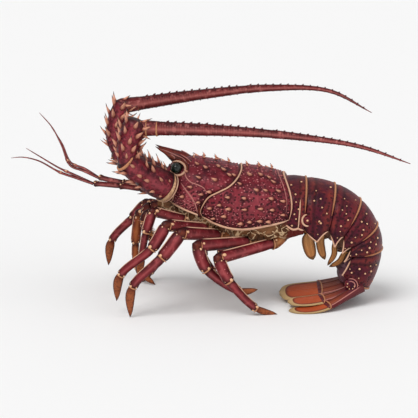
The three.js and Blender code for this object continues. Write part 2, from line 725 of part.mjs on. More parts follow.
const telson = blade(
  [[170, 0, 27], [150, 0, 18], [121, 0, 12], [78, 0, 7.5]],
  [[0, 30, 14], [0.2, 36, 10], [0.45, 42, 6], [0.7, 44, 4.4], [0.9, 40, 3.4], [0.98, 26, 2.4], [1, 12, 1.4]],
  -12,
);

const sideBlades = [];
for (const side of [LEFT, RIGHT]) {
  const inner = blade(
    [[163, side * 21, 20], [141, side * 26, 11], [112, side * 31, 5], [86, side * 33, 4]],
    [[0, 10, 10], [0.2, 17, 8], [0.5, 28, 4.5], [0.75, 31, 3.6], [0.93, 25, 2.6], [1, 10, 1.4]],
    side * 12,
  );
  const outer = blade(
    [[168, side * 26, 21], [147, side * 36, 12], [117, side * 51, 2.5], [87, side * 58, 1]],
    [[0, 10, 10], [0.2, 15, 8], [0.5, 26, 4.2], [0.75, 29, 3.2], [0.93, 22, 2.4], [1, 8, 1.6]],
    side * 3,
  );
  sideBlades.push({ side, inner, outer });
}

const telsonClear = clearOf(telson, segmentSolids[5]);
addPart('telson', telsonClear, 'fan');
for (const { side, inner, outer } of sideBlades) {
  const innerClear = clearOf(inner, segmentSolids[5], telsonClear);
  addPart(`fan_blade_${sideName(side)}_inner`, innerClear, 'fan');
  addPart(`fan_blade_${sideName(side)}_outer`, clearOf(outer, segmentSolids[5], innerClear), 'fan');
}

export default lobster;
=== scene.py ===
# Looks of a life-size spiny lobster that stands on its legs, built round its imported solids.
# Shapes are worked out in millimetres, +Z up, the head towards -X and the left side -Y,
# and every piece is scaled to metres when it is finished.

import math
import random

import bmesh
import bpy
from mathutils import Matrix, Vector, noise
from mathutils.kdtree import KDTree


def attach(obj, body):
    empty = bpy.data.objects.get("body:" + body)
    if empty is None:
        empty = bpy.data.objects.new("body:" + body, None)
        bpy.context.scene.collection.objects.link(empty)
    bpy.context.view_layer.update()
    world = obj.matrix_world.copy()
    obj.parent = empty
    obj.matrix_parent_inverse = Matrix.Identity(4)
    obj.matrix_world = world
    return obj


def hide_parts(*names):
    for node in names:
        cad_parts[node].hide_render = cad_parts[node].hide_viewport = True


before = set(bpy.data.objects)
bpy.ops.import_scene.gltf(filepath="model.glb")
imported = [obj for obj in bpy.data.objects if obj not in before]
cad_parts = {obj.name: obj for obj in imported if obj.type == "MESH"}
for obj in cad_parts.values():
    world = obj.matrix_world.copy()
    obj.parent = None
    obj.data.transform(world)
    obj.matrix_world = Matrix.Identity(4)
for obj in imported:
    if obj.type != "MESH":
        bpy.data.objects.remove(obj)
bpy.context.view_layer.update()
scene = bpy.context.scene
draw = random.Random(7)

MM = 0.001
LEFT, RIGHT = -1, 1
SIDES = (LEFT, RIGHT)
SIDE_NAMES = {LEFT: "left", RIGHT: "right"}
ACROSS = Vector((0, 1, 0))
UP = Vector((0, 0, 1))
AHEAD = Vector((-1, 0, 0))
BEHIND = Vector((1, 0, 0))

# Camera, as far away as the picture's flat perspective asks

CAMERA_LENS = 200
CAMERA_SENSOR = 36
CAMERA_CLIP_END = 20
CAMERA_ELEVATION = math.radians(12)
CAMERA_DISTANCE = 2.5544
CAMERA_TARGET = Vector((0, 0, 0.103))

camera_data = bpy.data.cameras.new("camera")
camera_data.lens = CAMERA_LENS
camera_data.sensor_width = CAMERA_SENSOR
camera_data.clip_end = CAMERA_CLIP_END
camera = bpy.data.objects.new("camera", camera_data)
camera_away = Vector((0, -math.cos(CAMERA_ELEVATION), math.sin(CAMERA_ELEVATION)))
camera.location = CAMERA_TARGET + camera_away * CAMERA_DISTANCE
camera.rotation_euler = (math.pi / 2 - CAMERA_ELEVATION, 0, 0)
scene.collection.objects.link(camera)
scene.camera = camera
scene.view_settings.view_transform = "Standard"


# Node trees

def add_node(tree, kind, inputs=None, **settings):
    """A shader node with its settings; each input is given a value or another node's output."""
    made = tree.nodes.new(kind)
    for key, value in settings.items():
        setattr(made, key, value)
    for key, value in (inputs or {}).items():
        if isinstance(value, bpy.types.NodeSocket):
            tree.links.new(value, made.inputs[key])
        else:
            made.inputs[key].default_value = value
    return made


def colour(shade):
    """A colour given as it looks on a screen, from 0 to 255, as the shader reads it."""
    linear = [c / 255 / 12.92 if c <= 10 else ((c / 255 + 0.055) / 1.055) ** 2.4 for c in shade]
    return (*linear, 1)


def mixed(tree, share, first, second):
    """The colour between two colours at a share from 0 to 1."""
    return add_node(tree, "ShaderNodeMix", {0: share, 6: first, 7: second}, data_type="RGBA").outputs[2]


def maths(tree, operation, first, second=0.0, clamp=False):
    made = add_node(tree, "ShaderNodeMath", {0: first, 1: second}, operation=operation, use_clamp=clamp)
    return made.outputs[0]


def ranged(tree, value, low, high, to_low=0.0, to_high=1.0):
    """A value brought from one range to another, with soft ends."""
    inputs = {"Value": value, "From Min": low, "From Max": high, "To Min": to_low, "To Max": to_high}
    return add_node(tree, "ShaderNodeMapRange", inputs, interpolation_type="SMOOTHSTEP").outputs[0]


def object_place(tree):
    """The place on the object, which patterns follow."""
    return add_node(tree, "ShaderNodeTexCoord").outputs["Object"]


def noise_at(tree, place, scale, detail=3.0, roughness=0.55, distortion=0.0):
    inputs = {
        "Vector": place, "Scale": scale, "Detail": detail, "Roughness": roughness, "Distortion": distortion,
    }
    return add_node(tree, "ShaderNodeTexNoise", inputs).outputs["Fac"]


def new_group(name, inputs, outputs):
    """An empty node group with named sockets: (group, its inputs, its output node)."""
    group = bpy.data.node_groups.new(name, "ShaderNodeTree")
    for side, sockets in (("INPUT", inputs), ("OUTPUT", outputs)):
        for label, kind in sockets.items():
            group.interface.new_socket(label, in_out=side, socket_type=f"NodeSocket{kind}")
    return group, add_node(group, "NodeGroupInput").outputs, add_node(group, "NodeGroupOutput")


def build_mottling():
    """Three shell colours in soft patches, with a fine grain over them."""
    sockets = {"Dark": "Color", "Main": "Color", "Light": "Color", "Patch": "Float", "Grain": "Float"}
    group, given, result = new_group("shell_mottling", sockets, {"Color": "Color"})
    place = object_place(group)
    patches = ranged(group, noise_at(group, place, given["Patch"], 4), 0.36, 0.6)
    flushes = ranged(group, noise_at(group, place, given["Grain"], 3, 0.6, 0.4), 0.5, 0.72)
    base = mixed(group, patches, given["Dark"], given["Main"])
    both = mixed(group, maths(group, "MULTIPLY", flushes, 0.7), base, given["Light"])
    group.links.new(both, result.inputs["Color"])
    return group


def build_pits():
    """Small round pits scattered over a surface: their mask, and a height that sinks in them."""
    sockets = {"Scale": "Float", "Size": "Float", "Amount": "Float"}
    group, given, result = new_group("shell_pits", sockets, {"Mask": "Float", "Height": "Float"})
    inputs = {"Vector": object_place(group), "Scale": given["Scale"], "Randomness": 0.9}
    cells = add_node(group, "ShaderNodeTexVoronoi", inputs).outputs["Distance"]
    inner = maths(group, "MULTIPLY", given["Size"], 0.65)
    depth = ranged(group, cells, inner, given["Size"], 1.0, 0.0)
    mask = maths(group, "MULTIPLY", depth, given["Amount"], clamp=True)
    group.links.new(mask, result.inputs["Mask"])
    group.links.new(maths(group, "SUBTRACT", 1.0, mask), result.inputs["Height"])
    return group


def build_pores():
    """Fine pores and grain, as a height for the bump."""
    group, given, result = new_group("fine_grain", {"Scale": "Float"}, {"Height": "Float"})
    group.links.new(noise_at(group, object_place(group), given["Scale"], 4, 0.65), result.inputs["Height"])
    return group


MOTTLING = build_mottling()
PITS = build_pits()
PORES = build_pores()


def grouped(tree, group, inputs):
    return add_node(tree, "ShaderNodeGroup", inputs, node_tree=group).outputs


def mottled(tree, shades, patch, grain):
    inputs = {key: colour(shade) for key, shade in zip(("Dark", "Main", "Light"), shades)}
    return grouped(tree, MOTTLING, {**inputs, "Patch": patch, "Grain": grain})["Color"]


def pored(tree, scale):
    return grouped(tree, PORES, {"Scale": scale})["Height"]


def attribute(tree, name):
    return add_node(tree, "ShaderNodeAttribute", attribute_name=name).outputs["Fac"]


# Kinds of finish. Each roughness is a pair, in the hollows of the grain and on top of it.

PIT_SHADE = (48, 8, 18)
# colour of the painted shade, and also the dark colour of limb joints
PAINTED_SHADE_AND_JOINT_DARK = (42, 6, 10)
FOLD_SHADE = (104, 36, 32)
RIB_SHADE = (80, 24, 14)
BLADE_EDGE_SHADE = (84, 24, 12)
PIT_SIZE = 0.46
PORE_RANGE = (0.3, 0.75)
ARMOUR_ROUGHNESS = (0.35, 0.56)
HORN_ROUGHNESS = (0.38, 0.58)
SKIN_ROUGHNESS = (0.47, 0.65)
ARMOUR_PORES, HORN_PORES, SKIN_PORES = 900.0, 1100.0, 700.0
HORN_STREAKS = 420.0
SHELL_COAT = 0.05
COAT_ROUGHNESS = 0.25
BUMP_STRENGTH = 0.8


def start_material(name):
    material = bpy.data.materials.new(name)
    material.use_nodes = True
    tree = material.node_tree
    return material, tree, tree.nodes["Principled BSDF"]


def finish_material(tree, shader, base, roughness, height, depth, coat=0.0, gloss=0.16):
    """Joins a colour, a roughness and a bump height in millimetres to the shader."""
    shader.inputs["Specular IOR Level"].default_value = gloss
    tree.links.new(base, shader.inputs["Base Color"])
    tree.links.new(roughness, shader.inputs["Roughness"])
    shader.inputs["Coat Weight"].default_value = coat
    shader.inputs["Coat Roughness"].default_value = COAT_ROUGHNESS
    bump = {"Strength": BUMP_STRENGTH, "Distance": depth * MM, "Height": height}
    tree.links.new(add_node(tree, "ShaderNodeBump", bump).outputs["Normal"], shader.inputs["Normal"])


def armour(name, shades, patch, grain, pits=0.0, pit_scale=270.0):
    """Glossy shell in three colours, with a painted highlight and tints, painted shade round spine roots and
    elsewhere, dark joints and pits.
    """
    material, tree, shader = start_material(name)
    base = mottled(tree, shades, patch, grain)
    amount = maths(tree, "MULTIPLY", attribute(tree, "pitted"), pits)
    pit = grouped(tree, PITS, {"Scale": pit_scale, "Size": PIT_SIZE, "Amount": amount})
    # a highlight painted along the middle of limb faces, and lighter tints elsewhere
    base = mixed(tree, attribute(tree, "painted_highlight_and_tint"), base, colour(shades[2]))
    base = mixed(tree, pit["Mask"], base, colour(PIT_SHADE))
    # shade painted at edges, in grooves, round spines, knobs and dots and under ring fronts, and the dark
    # colour of joints
    base = mixed(tree, attribute(tree, "painted_shade_and_dark_joints"), base, colour(PAINTED_SHADE_AND_JOINT_DARK))
    pores = pored(tree, ARMOUR_PORES)
    height = maths(tree, "ADD", maths(tree, "MULTIPLY", pores, 0.35), pit["Height"])
    roughness = ranged(tree, pores, *PORE_RANGE, *ARMOUR_ROUGHNESS)
    finish_material(tree, shader, base, roughness, height, depth=0.5, coat=SHELL_COAT)
    return material


def horny(name, shades, first=0.3, last=0.85, edge=None):
    """A spine, knob or claw that changes colour from its root to its tip, and at its edges."""
    material, tree, shader = start_material(name)
    root, middle, tip = (colour(shade) for shade in shades)
    along = attribute(tree, "along")
    streak = noise_at(tree, object_place(tree), HORN_STREAKS, 3)
    wave = maths(tree, "MULTIPLY", maths(tree, "SUBTRACT", streak, 0.5), 0.25)
    moved = maths(tree, "ADD", along, wave)
    base = mixed(tree, ranged(tree, moved, 0.0, first), root, middle)
    base = mixed(tree, ranged(tree, moved, last - 0.25, last), base, tip)
    if edge:
        base = mixed(tree, ranged(tree, streak, 0.42, 0.66, 0.0, 0.6), base, colour(edge))
        base = mixed(tree, ranged(tree, attribute(tree, "edge"), 0.62, 0.95), base, colour(edge))
    pores = pored(tree, HORN_PORES)
    roughness = ranged(tree, pores, *PORE_RANGE, *HORN_ROUGHNESS)
    finish_material(tree, shader, base, roughness, pores, depth=0.25, coat=SHELL_COAT)
    return material


def swirled(name, dark, main, line, scale):
    """Skin with winding pale lines."""
    material, tree, shader = start_material(name)
    place = object_place(tree)
    base = mottled(tree, (dark, main, main), 60.0, 200.0)
    winding = noise_at(tree, place, scale, 1.5, 0.5, 1.6)
    ridge = maths(tree, "ABSOLUTE", maths(tree, "SUBTRACT", winding, 0.5))
    mask = ranged(tree, ridge, 0.016, 0.05, 1.0, 0.0)
    base = mixed(tree, maths(tree, "MULTIPLY", mask, 0.85), base, colour(line))
    base = mixed(tree, attribute(tree, "painted_highlight_and_tint"), base, colour(FOLD_SHADE))
    pores = pored(tree, SKIN_PORES)
    height = maths(tree, "ADD", maths(tree, "MULTIPLY", mask, 0.8), pores)
    roughness = ranged(tree, pores, *PORE_RANGE, *SKIN_ROUGHNESS)
    finish_material(tree, shader, base, roughness, height, depth=0.6)
    return material


def ribbed(name, shades, rib_count, rough=0.45):
    """A thin blade or leaf with fine lengthwise ribs, a shaded border and a rim."""
    material, tree, shader = start_material(name)
    inner, outer, rim = (colour(shade) for shade in shades)
    along, turn, edge = (attribute(tree, mark) for mark in ("along", "turn", "edge"))
    soft = noise_at(tree, object_place(tree), 120.0, 3)
    moved = maths(tree, "ADD", along, maths(tree, "MULTIPLY", soft, 0.2))
    base = mixed(tree, ranged(tree, moved, 0.3, 0.9), inner, outer)
    ribs = maths(tree, "SINE", maths(tree, "MULTIPLY", turn, rib_count * math.pi))
    base = mixed(tree, ranged(tree, ribs, -1.0, 1.0, 0.0, 0.22), base, colour(RIB_SHADE))
    sides = maths(tree, "POWER", edge, 3.0)
    tip = maths(tree, "POWER", ranged(tree, along, 0.75, 1.0), 3.0)
    outwards = maths(tree, "ADD", sides, tip)
    base = mixed(tree, ranged(tree, outwards, 0.14, 0.5, 0.0, 0.85), base, colour(BLADE_EDGE_SHADE))
    base = mixed(tree, ranged(tree, outwards, 0.5, 0.54), base, rim)
    roughness = ranged(tree, soft, 0.3, 0.7, rough - 0.06, rough + 0.1)
    finish_material(tree, shader, base, roughness, ribs, depth=0.25, gloss=0.22)
    return material


def glassy(name, dark, light):
    """A wet, dark eye with fine facets."""
    material, tree, shader = start_material(name)
    place = object_place(tree)
    facets = add_node(tree, "ShaderNodeTexVoronoi", {"Vector": place, "Scale": 1500.0}).outputs["Distance"]
    soft = noise_at(tree, place, 160.0, 2)
    base = mixed(tree, ranged(tree, soft, 0.35, 0.7), colour(dark), colour(light))
    roughness = ranged(tree, facets, 0.0, 1.0, 0.05, 0.1)
    finish_material(tree, shader, base, roughness, facets, depth=0.02, coat=0.4, gloss=0.3)
    return material


# Finishes of the shell, from dark through main to light

SHELL = armour("shell", [(64, 8, 24), (114, 24, 38), (162, 70, 78)], 85.0, 300.0, pits=0.85)
TAIL = armour("tail_shell", [(54, 8, 30), (88, 16, 36), (126, 46, 38)], 34.0, 160.0, 0.8, 250.0)
LEG = armour("leg_shell", [(84, 14, 22), (118, 26, 34), (166, 78, 80)], 60.0, 120.0)
FAR_LEG = armour("far_leg_shell", [(104, 38, 16), (152, 74, 32), (176, 100, 54)], 60.0, 120.0)
JOINT = armour("joint_shell", [(60, 14, 12), (96, 28, 22), (130, 58, 38)], 90.0, 260.0)
COXA = armour("coxa_shell", [(132, 66, 34), (182, 112, 66), (208, 148, 100)], 90.0, 260.0)
WHIP = armour("whip_shell", [(70, 8, 12), (102, 20, 24), (184, 108, 102)], 60.0, 200.0)
HORN = armour("horn_shell", [(74, 20, 18), (110, 34, 30), (150, 82, 60)], 90.0, 200.0)

# Finishes of spines, knobs, raised lines and claws, from root to tip

SPINE = horny("spine", [(112, 34, 32), (208, 146, 120), (66, 46, 46)], first=0.45)
NUB = horny("nub", [(90, 22, 22), (74, 26, 28), (50, 28, 32)])
KNOB = horny("knob", [(150, 66, 74), (186, 106, 108), (206, 134, 128)], last=0.95)
DOT = horny("dot", [(196, 134, 94), (224, 174, 134), (236, 196, 158)], last=0.95)
RIM = horny("rim", [(200, 150, 122), (212, 166, 138), (218, 174, 148)], last=0.95)
SEAM = horny("seam", [(166, 104, 98), (180, 116, 108), (166, 104, 98)], last=1.2)
BAND = horny("band", [(150, 92, 62), (184, 126, 90), (150, 92, 62)], last=1.2)
CREAM = horny("cream", [(186, 146, 112), (206, 170, 134), (186, 146, 112)], last=1.2)
CUP = horny("cup", [(166, 122, 88), (196, 156, 118), (166, 122, 88)], last=1.2, edge=(120, 62, 50))
CLAW = horny("claw", [(104, 40, 22), (152, 82, 46), (60, 36, 28)], last=1.02, edge=(78, 38, 26))
BRISTLE = horny("bristle", [(150, 84, 40), (180, 116, 62), (100, 60, 40)])

# Finishes of skin, fan blades, leaves and eyes

SKIN = swirled("underside_skin", (74, 42, 24), (134, 90, 58), (226, 194, 154), 60.0)
BELLY = swirled("tail_skin", (56, 30, 40), (88, 54, 64), (112, 80, 88), 40.0)
FOLD = swirled("tail_fold_skin", (58, 36, 26), (110, 78, 62), (134, 104, 86), 60.0)
FAN_BASE = ribbed("fan_base", [(76, 22, 42), (140, 68, 46), (92, 34, 38)], 5)
FAN_LOBE = ribbed("fan_lobe", [(196, 92, 44), (186, 80, 38), (200, 166, 116)], 22, 0.5)
LEAF = ribbed("leaf", [(206, 150, 94), (188, 126, 72), (120, 86, 54)], 7, 0.55)
EYE = glassy("eye", (4, 10, 8), (14, 36, 28))


# Curves and sizes

SHORTEST_SPAN = 1e-4


def clamped(value, low=0, high=1):
    return max(low, min(high, value))


def between(first, last, share):
    return first + (last - first) * share


def steps(first, last, count):
    """Even values from the first to the last, which are both among them."""
    return [between(first, last, i / (count - 1)) for i in range(count)]


def bell(value, middle, reach, power=2):
    """1 at the middle, and softly down to 0 past its reach."""
    return math.exp(-((value - middle) / reach) ** power)


def value_at(line, x):
    """Smooth value of a list of (x, value) at x."""
    last = len(line) - 2
    i = 0
    while i < last and x > line[i + 1][0]:
        i += 1

    def slope(k):
        a, b = line[max(k - 1, 0)], line[min(k + 1, len(line) - 1)]
        return (b[1] - a[1]) / (b[0] - a[0])

    (x0, y0), (x1, y1) = line[i], line[i + 1]
    span = x1 - x0
    t = clamped((x - x0) / span)
    rise = t * t * (3 - 2 * t)
    leave = t * (1 - t) * (1 - t)
    arrive = t * t * (t - 1)
    return y0 + (y1 - y0) * rise + span * (slope(i) * leave + slope(i + 1) * arrive)


def widths_of(profile):
    return [(row[0], row[1]) for row in profile]


def depths_of(profile):
    return [(row[0], row[-1]) for row in profile]


def times(shape, width):
    """A profile given as shares of a width."""
    return [(place, share * width) for place, share in shape]


class Line:
    """A smooth curve through points, which can be followed by its length."""

    STEPS = 200

    def __init__(self, points):
        self.points = [Vector(p) for p in points]
        spans = len(self.points) - 1
        self.fine = [self.knot(spans * i / self.STEPS) for i in range(self.STEPS + 1)]
        self.lengths = [0.0]
        for a, b in zip(self.fine, self.fine[1:]):
            self.lengths.append(self.lengths[-1] + (b - a).length)
        self.length = self.lengths[-1]

    def knot(self, value):
        """Point at a value that counts the given points, from 0 at the first."""
        p = self.points
        i = min(int(value), len(p) - 2)
        t = value - i
        before = p[i - 1] if i > 0 else p[0] * 2 - p[1]
        after = p[i + 2] if i + 2 < len(p) else p[-1] * 2 - p[-2]
        a, b = p[i], p[i + 1]
        d0, d1, d2 = (max((v - u).length, SHORTEST_SPAN) ** 0.5 for u, v in ((before, a), (a, b), (b, after)))
        start = ((a - before) / d0 - (b - before) / (d0 + d1) + (b - a) / d1) * d1
        end = ((b - a) / d1 - (after - a) / (d1 + d2) + (after - b) / d2) * d1
        turn = (b - a) * 3 - start * 2 - end
        twist = (a - b) * 2 + start + end
        return a + start * t + turn * t * t + twist * t * t * t

    def index(self, place):
        """The fine step that holds a place from 0 to 1, and the share of the step behind it."""
        target = clamped(place) * self.length
        low, high = 0, self.STEPS
        while high - low > 1:
            middle = (low + high) // 2
            if self.lengths[middle] <= target:
                low = middle
            else:
                high = middle
        span = self.lengths[high] - self.lengths[low]
        return low, (target - self.lengths[low]) / span if span else 0

    def at(self, place):
        low, share = self.index(place)
        return self.fine[low].lerp(self.fine[low + 1], share)

    def along(self, place):
        low, share = self.index(place)
        before = self.fine[low + 1] - self.fine[max(low - 1, 0)]
        after = self.fine[min(low + 2, self.STEPS)] - self.fine[low]
        return before.normalized().lerp(after.normalized(), share).normalized()


def station(line, place, facing=ACROSS, roll=0.0):
    """Centre of a limb at a place, its direction, and the two directions of its section."""
    along = line.along(place)
    across = along.cross(facing).normalized()
    across.rotate(Matrix.Rotation(roll, 3, along))
    return line.at(place), along, across, along.cross(across)


def spoke(line, place, turn, thickness=1.0):
    """Centre and direction of a limb at a place, and the way out of it at a turn round it."""
    centre, along, across, front = station(line, place)
    return centre, along, across * math.cos(turn) + front * math.sin(turn) * thickness


def arc(centre, first, sweep, count, right, up):
    """Points round a centre, from a first turn on over a sweep in degrees. The vectors right
    and up reach from the centre to the arc."""
    turns = [math.radians(first + sweep * i / (count - 1)) for i in range(count)]
    return [centre + right * math.cos(turn) + up * math.sin(turn) for turn in turns]


def mirrored(points, side):
    """Points of the right side, on either side."""
    return [(x, side * y, z) for x, y, z in points]


# Making of meshes

# Marks on each vertex; two of them carry a painted highlight with tints, and painted shade with the dark
# colour of joints
MARKS = ("along", "turn", "edge", "painted_shade_and_dark_joints", "pitted", "painted_highlight_and_tint")
THORN_SHAPE = [(0, 1.25), (0.22, 1.0), (0.45, 0.66), (0.72, 0.34), (0.92, 0.12), (1, 0.03)]
THORN_CURL = 0.3
BEAD_SHAPE = [(0, 0.3), (0.12, 1), (0.88, 1), (1, 0.3)]
THINNEST = 0.02

# How dark a limb is near its ends, at its joints; the shade painted at its edges and in its grooves, and the
# highlight painted along the middle of its faces

END_SHADE = 0.8
END_REACH = 4.5
PAINTED_EDGE_SHADE = 0.8
PAINTED_GROOVE_SHADE = 6
PAINTED_FACE_HIGHLIGHT = 0.65
FACE_REACH = 0.3
LIMB_PITS = 0.5

templates = {}


def turned(across, front, along, place):
    """The matrix that takes the three axes to these directions, at a place."""
    matrix = Matrix((across, front, along)).transposed().to_4x4()
    matrix.translation = place
    return matrix


def start_mesh():
    bm = bmesh.new()
    return bm, {mark: bm.verts.layers.float.new(mark) for mark in MARKS}


def finish_mesh(name, bm, look):
    bmesh.ops.recalc_face_normals(bm, faces=bm.faces)
    for face in bm.faces:
        face.smooth = True
    mesh = bpy.data.meshes.new(name)
    bm.to_mesh(mesh)
    bm.free()
    mesh.materials.append(look)
    return mesh


def set_marks(vert, marks, values):
    for mark, value in values.items():
        vert[marks[mark]] = value


def limb_marks(local, turn, place, reach, swell):
    """Marks of a point on a limb, whose local place is on a circle of radius 1. A limb that
    swells has shade painted in its grooves, and any other one is dark near its ends, at its joints.
    Every limb has shade painted at its edges and a highlight painted along the middle of its faces."""
    if swell is None:
        shade = END_SHADE * sum(bell(gap * reach, 0, END_REACH) for gap in (place, 1 - place))
    else:
        shade = PAINTED_GROOVE_SHADE * max(0, 1 - swell)
    return {
        "along": place,
        "turn": abs(abs(turn / math.pi) - 0.5) * 2,
        "edge": abs(local.x),
        # shade painted at the edges of the section; below, a highlight painted along the middle of each face
        "painted_shade_and_dark_joints": shade + PAINTED_EDGE_SHADE * local.x ** 4,
        "painted_highlight_and_tint": PAINTED_FACE_HIGHLIGHT * bell(local.x, 0, FACE_REACH),
        "pitted": LIMB_PITS,
    }


def limb_mesh(name, line, profile, look, span, sides, rings, facing, roll, shape):
    """A closed tapering limb along a line. The profile lists (place, width, depth), and
    shape(place, turn) may swell the surface there by a factor."""
    bm, marks = start_mesh()
    widths, depths = widths_of(profile), depths_of(profile)
    places = sorted({i / rings for i in range(rings + 1)} | {row[0] for row in profile})
    reach = (span[1] - span[0]) * line.length
    edges = None
    for place in places:
        centre, along, across, front = station(line, between(*span, place), facing, roll)
        width = max(value_at(widths, place), THINNEST) / 2
        depth = max(value_at(depths, place), THINNEST) / 2
        matrix = turned(across * width, front * depth, along, centre)
        if edges is None:
            verts = bmesh.ops.create_circle(bm, segments=sides, radius=1, matrix=matrix)["verts"]
            edges = list(bm.edges)
            bmesh.ops.contextual_create(bm, geom=edges)
        else:
            grown = bmesh.ops.extrude_edge_only(bm, edges=edges)["geom"]
            verts = [item for item in grown if isinstance(item, bmesh.types.BMVert)]
            sides_grown = [item for item in grown if isinstance(item, bmesh.types.BMEdge)]
            fresh = set(verts)
            edges = [edge for edge in sides_grown if fresh.issuperset(edge.verts)]
            bmesh.ops.transform(bm, matrix=matrix @ last, verts=verts)
        last = matrix.inverted()
        for vert in verts:
            local = last @ vert.co
            turn = math.atan2(local.y, local.x)
            swell = shape(place, turn) if shape else None
            set_marks(vert, marks, limb_marks(local, turn, place, reach, swell))
            if swell:
                vert.co = matrix @ Vector((local.x * swell, local.y * swell, 0))
    bmesh.ops.contextual_create(bm, geom=edges)
    return finish_mesh(name, bm, look)


def dome_mesh(look):
    """A ball a unit wide, pale at its top."""
    if ("dome", look) not in templates:
        bm, marks = start_mesh()
        for vert in bmesh.ops.create_uvsphere(bm, u_segments=8, v_segments=5, radius=0.5)["verts"]:
            vert[marks["along"]] = vert.co.z + 0.3
        templates["dome", look] = finish_mesh("dome", bm, look)
    return templates["dome", look]


def thorn_mesh(look, sides):
    """A curved spine a unit long and wide that points along X and curves towards Z."""
    if ("thorn", look, sides) not in templates:
        line = Line([(-0.1, 0, 0), (0.5, 0, THORN_CURL * 0.4), (1, 0, -THORN_CURL * 0.1)])
        mesh = limb_mesh("thorn", line, THORN_SHAPE, look, (0, 1), sides, 1, ACROSS, 0.0, None)
        templates["thorn", look, sides] = mesh
    return templates["thorn", look, sides]


class Piece:
    """A piece in the making, in millimetres: the parts that are joined in it. Its first part
    is never a dome or a thorn, because those share their meshes."""

    def __init__(self, name):
        self.name = name
        self.parts = []

    def add(self, mesh, matrix=None):
        part = bpy.data.objects.new(self.name, mesh)
        scene.collection.objects.link(part)
        if matrix:
            part.matrix_world = matrix
        self.parts.append(part)

    def limb(self, line, profile, look, span=(0, 1), sides=16, rings=16, facing=ACROSS, roll=0.0, shape=None):
        self.add(limb_mesh(self.name, line, profile, look, span, sides, rings, facing, roll, shape))

    def bead(self, points, width, look, sides=6, rings=24):
        """A raised line that follows points on a surface and thins at its ends."""
        self.limb(Line(points), times(BEAD_SHAPE, width), look, sides=sides, rings=rings)

    def dome(self, point, normal, size, look, height=0.8, stretch=1.0, towards=AHEAD):
        """A rounded knob half sunk in a surface."""
        side = normal.cross(towards).normalized()
        front = side.cross(normal)
        self.add(dome_mesh(look), turned(side * size, front * size * stretch, normal * size * height, point))

    def thorn(self, point, normal, towards, length, width, look, lean=0.9, sides=8):
        """A curved spine that rises from a surface and leans over."""
        direction = (normal + towards * lean).normalized()
        side = direction.cross(normal if abs(direction.dot(normal)) < 0.99 else towards).normalized()
        bend = side.cross(direction)
        self.add(thorn_mesh(look, sides), turned(direction * length, side * width, bend * width, point))

    def plate(self, shape, columns, rows, look, wall=0.0, inner=None, close=False):
        """A sheet bent to a shape: shape(u, v) gives a point and its marks for u and v from 0
        to 1. A wall thickens it towards the inner point, and close joins its edges that meet
        and fills the rest."""
        bm, marks = start_mesh()
        for vert in bmesh.ops.create_grid(bm, x_segments=columns, y_segments=rows, size=1)["verts"]:
            vert.co, values = shape((vert.co.x + 1) / 2, (vert.co.y + 1) / 2)
            set_marks(vert, marks, values)
        if close:
            bmesh.ops.remove_doubles(bm, verts=bm.verts, dist=0.01)
            bmesh.ops.holes_fill(bm, edges=[edge for edge in bm.edges if edge.is_boundary], sides=0)
        if wall:
            bmesh.ops.recalc_face_normals(bm, faces=bm.faces)
            outward = sum((face.calc_center_median() - inner).dot(face.normal) for face in bm.faces)
            if outward < 0:
                bmesh.ops.reverse_faces(bm, faces=bm.faces)
            bmesh.ops.solidify(bm, geom=bm.faces, thickness=wall)
        self.add(finish_mesh(self.name, bm, look))

    def finish(self, slot, *nodes):
        """Joins the parts to one object in metres, which takes the place of these nodes."""
        bpy.context.view_layer.update()
        piece = self.parts[0]
        chosen = {"selected_objects": self.parts, "selected_editable_objects": self.parts}
        with bpy.context.temp_override(active_object=piece, object=piece, **chosen):
            bpy.ops.object.join()
        for vert in piece.data.vertices:
            vert.co.z = max(vert.co.z, 0)
        piece.data.transform(Matrix.Scale(MM, 4))
        piece.name = self.name
        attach(piece, "root")
        if nodes:
            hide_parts(*nodes)


def varied(size, share=0.2):
    return size * draw.uniform(1 - share, 1 + share)


def roots_tree(points):
    """The points in a tree that finds the nearest one."""
    tree = KDTree(len(points))
    for i, point in enumerate(points):
        tree.insert(point, i)
    tree.balance()
    return tree


# Carapace. A margin is an edge in the side view, as (x, sweep, middle height, half height).

FRONT_MARGIN = (-38, -5, 134, 18)
REAR_MARGIN = (90, -6, 116, 24)
FRONT_END = FRONT_MARGIN[0] + FRONT_MARGIN[1]
REAR_END = REAR_MARGIN[0]
BACK_HEIGHT = [(-46, 152), (-30, 158), (-6, 162), (15, 158.5), (36, 153.5), (60, 151.5), (80, 147), (92, 142)]
BORDER_HEIGHT = [(-46, 118), (-24, 110), (-10, 106), (3, 102), (16, 96.5), (36, 91), (52, 90), (70, 93.5),
                 (86, 98), (92, 101)]
HALF_WIDTH = [(-46, 25), (-30, 35), (-6, 43), (20, 47), (50, 48.5), (75, 47), (92, 43.5)]
BELLY_HEIGHT = [(-58, 106), (-30, 95), (0, 83), (30, 73), (55, 68), (75, 68), (92, 74), (103, 78)]
TAIL_FLOOR = [(76, 120), (84, 104), (92, 92), (103, 86)]
SKIRT = [(0, 0.9), (0.3, 0.955), (0.62, 0.985), (1, 1)]
SHELL_WALL = 1.6
ARCH_SHARE = 0.72
WIDEST_SHARE = 0.4
SKIRT_SLOPE = 0.1
AXIS_HEIGHT = 128
SHELL_CENTRE = Vector((20, 0, AXIS_HEIGHT))

# Line of the neck groove in the side view, as (height, x), and half its width as a share
GROOVE = [(101, -6.5), (108.4, -9.7), (117.2, -6.5), (126, 0), (132.2, 11.9), (136.2, 20.5),
          (143.1, 29.2), (150.3, 34.7), (154.5, 35)]
HALF_GAP = 0.004
GROOVE_SEARCHES = 14


def margin_at(margin, z):
    x, sweep, middle, reach = margin
    return x + sweep * ((z - middle) / reach) ** 2


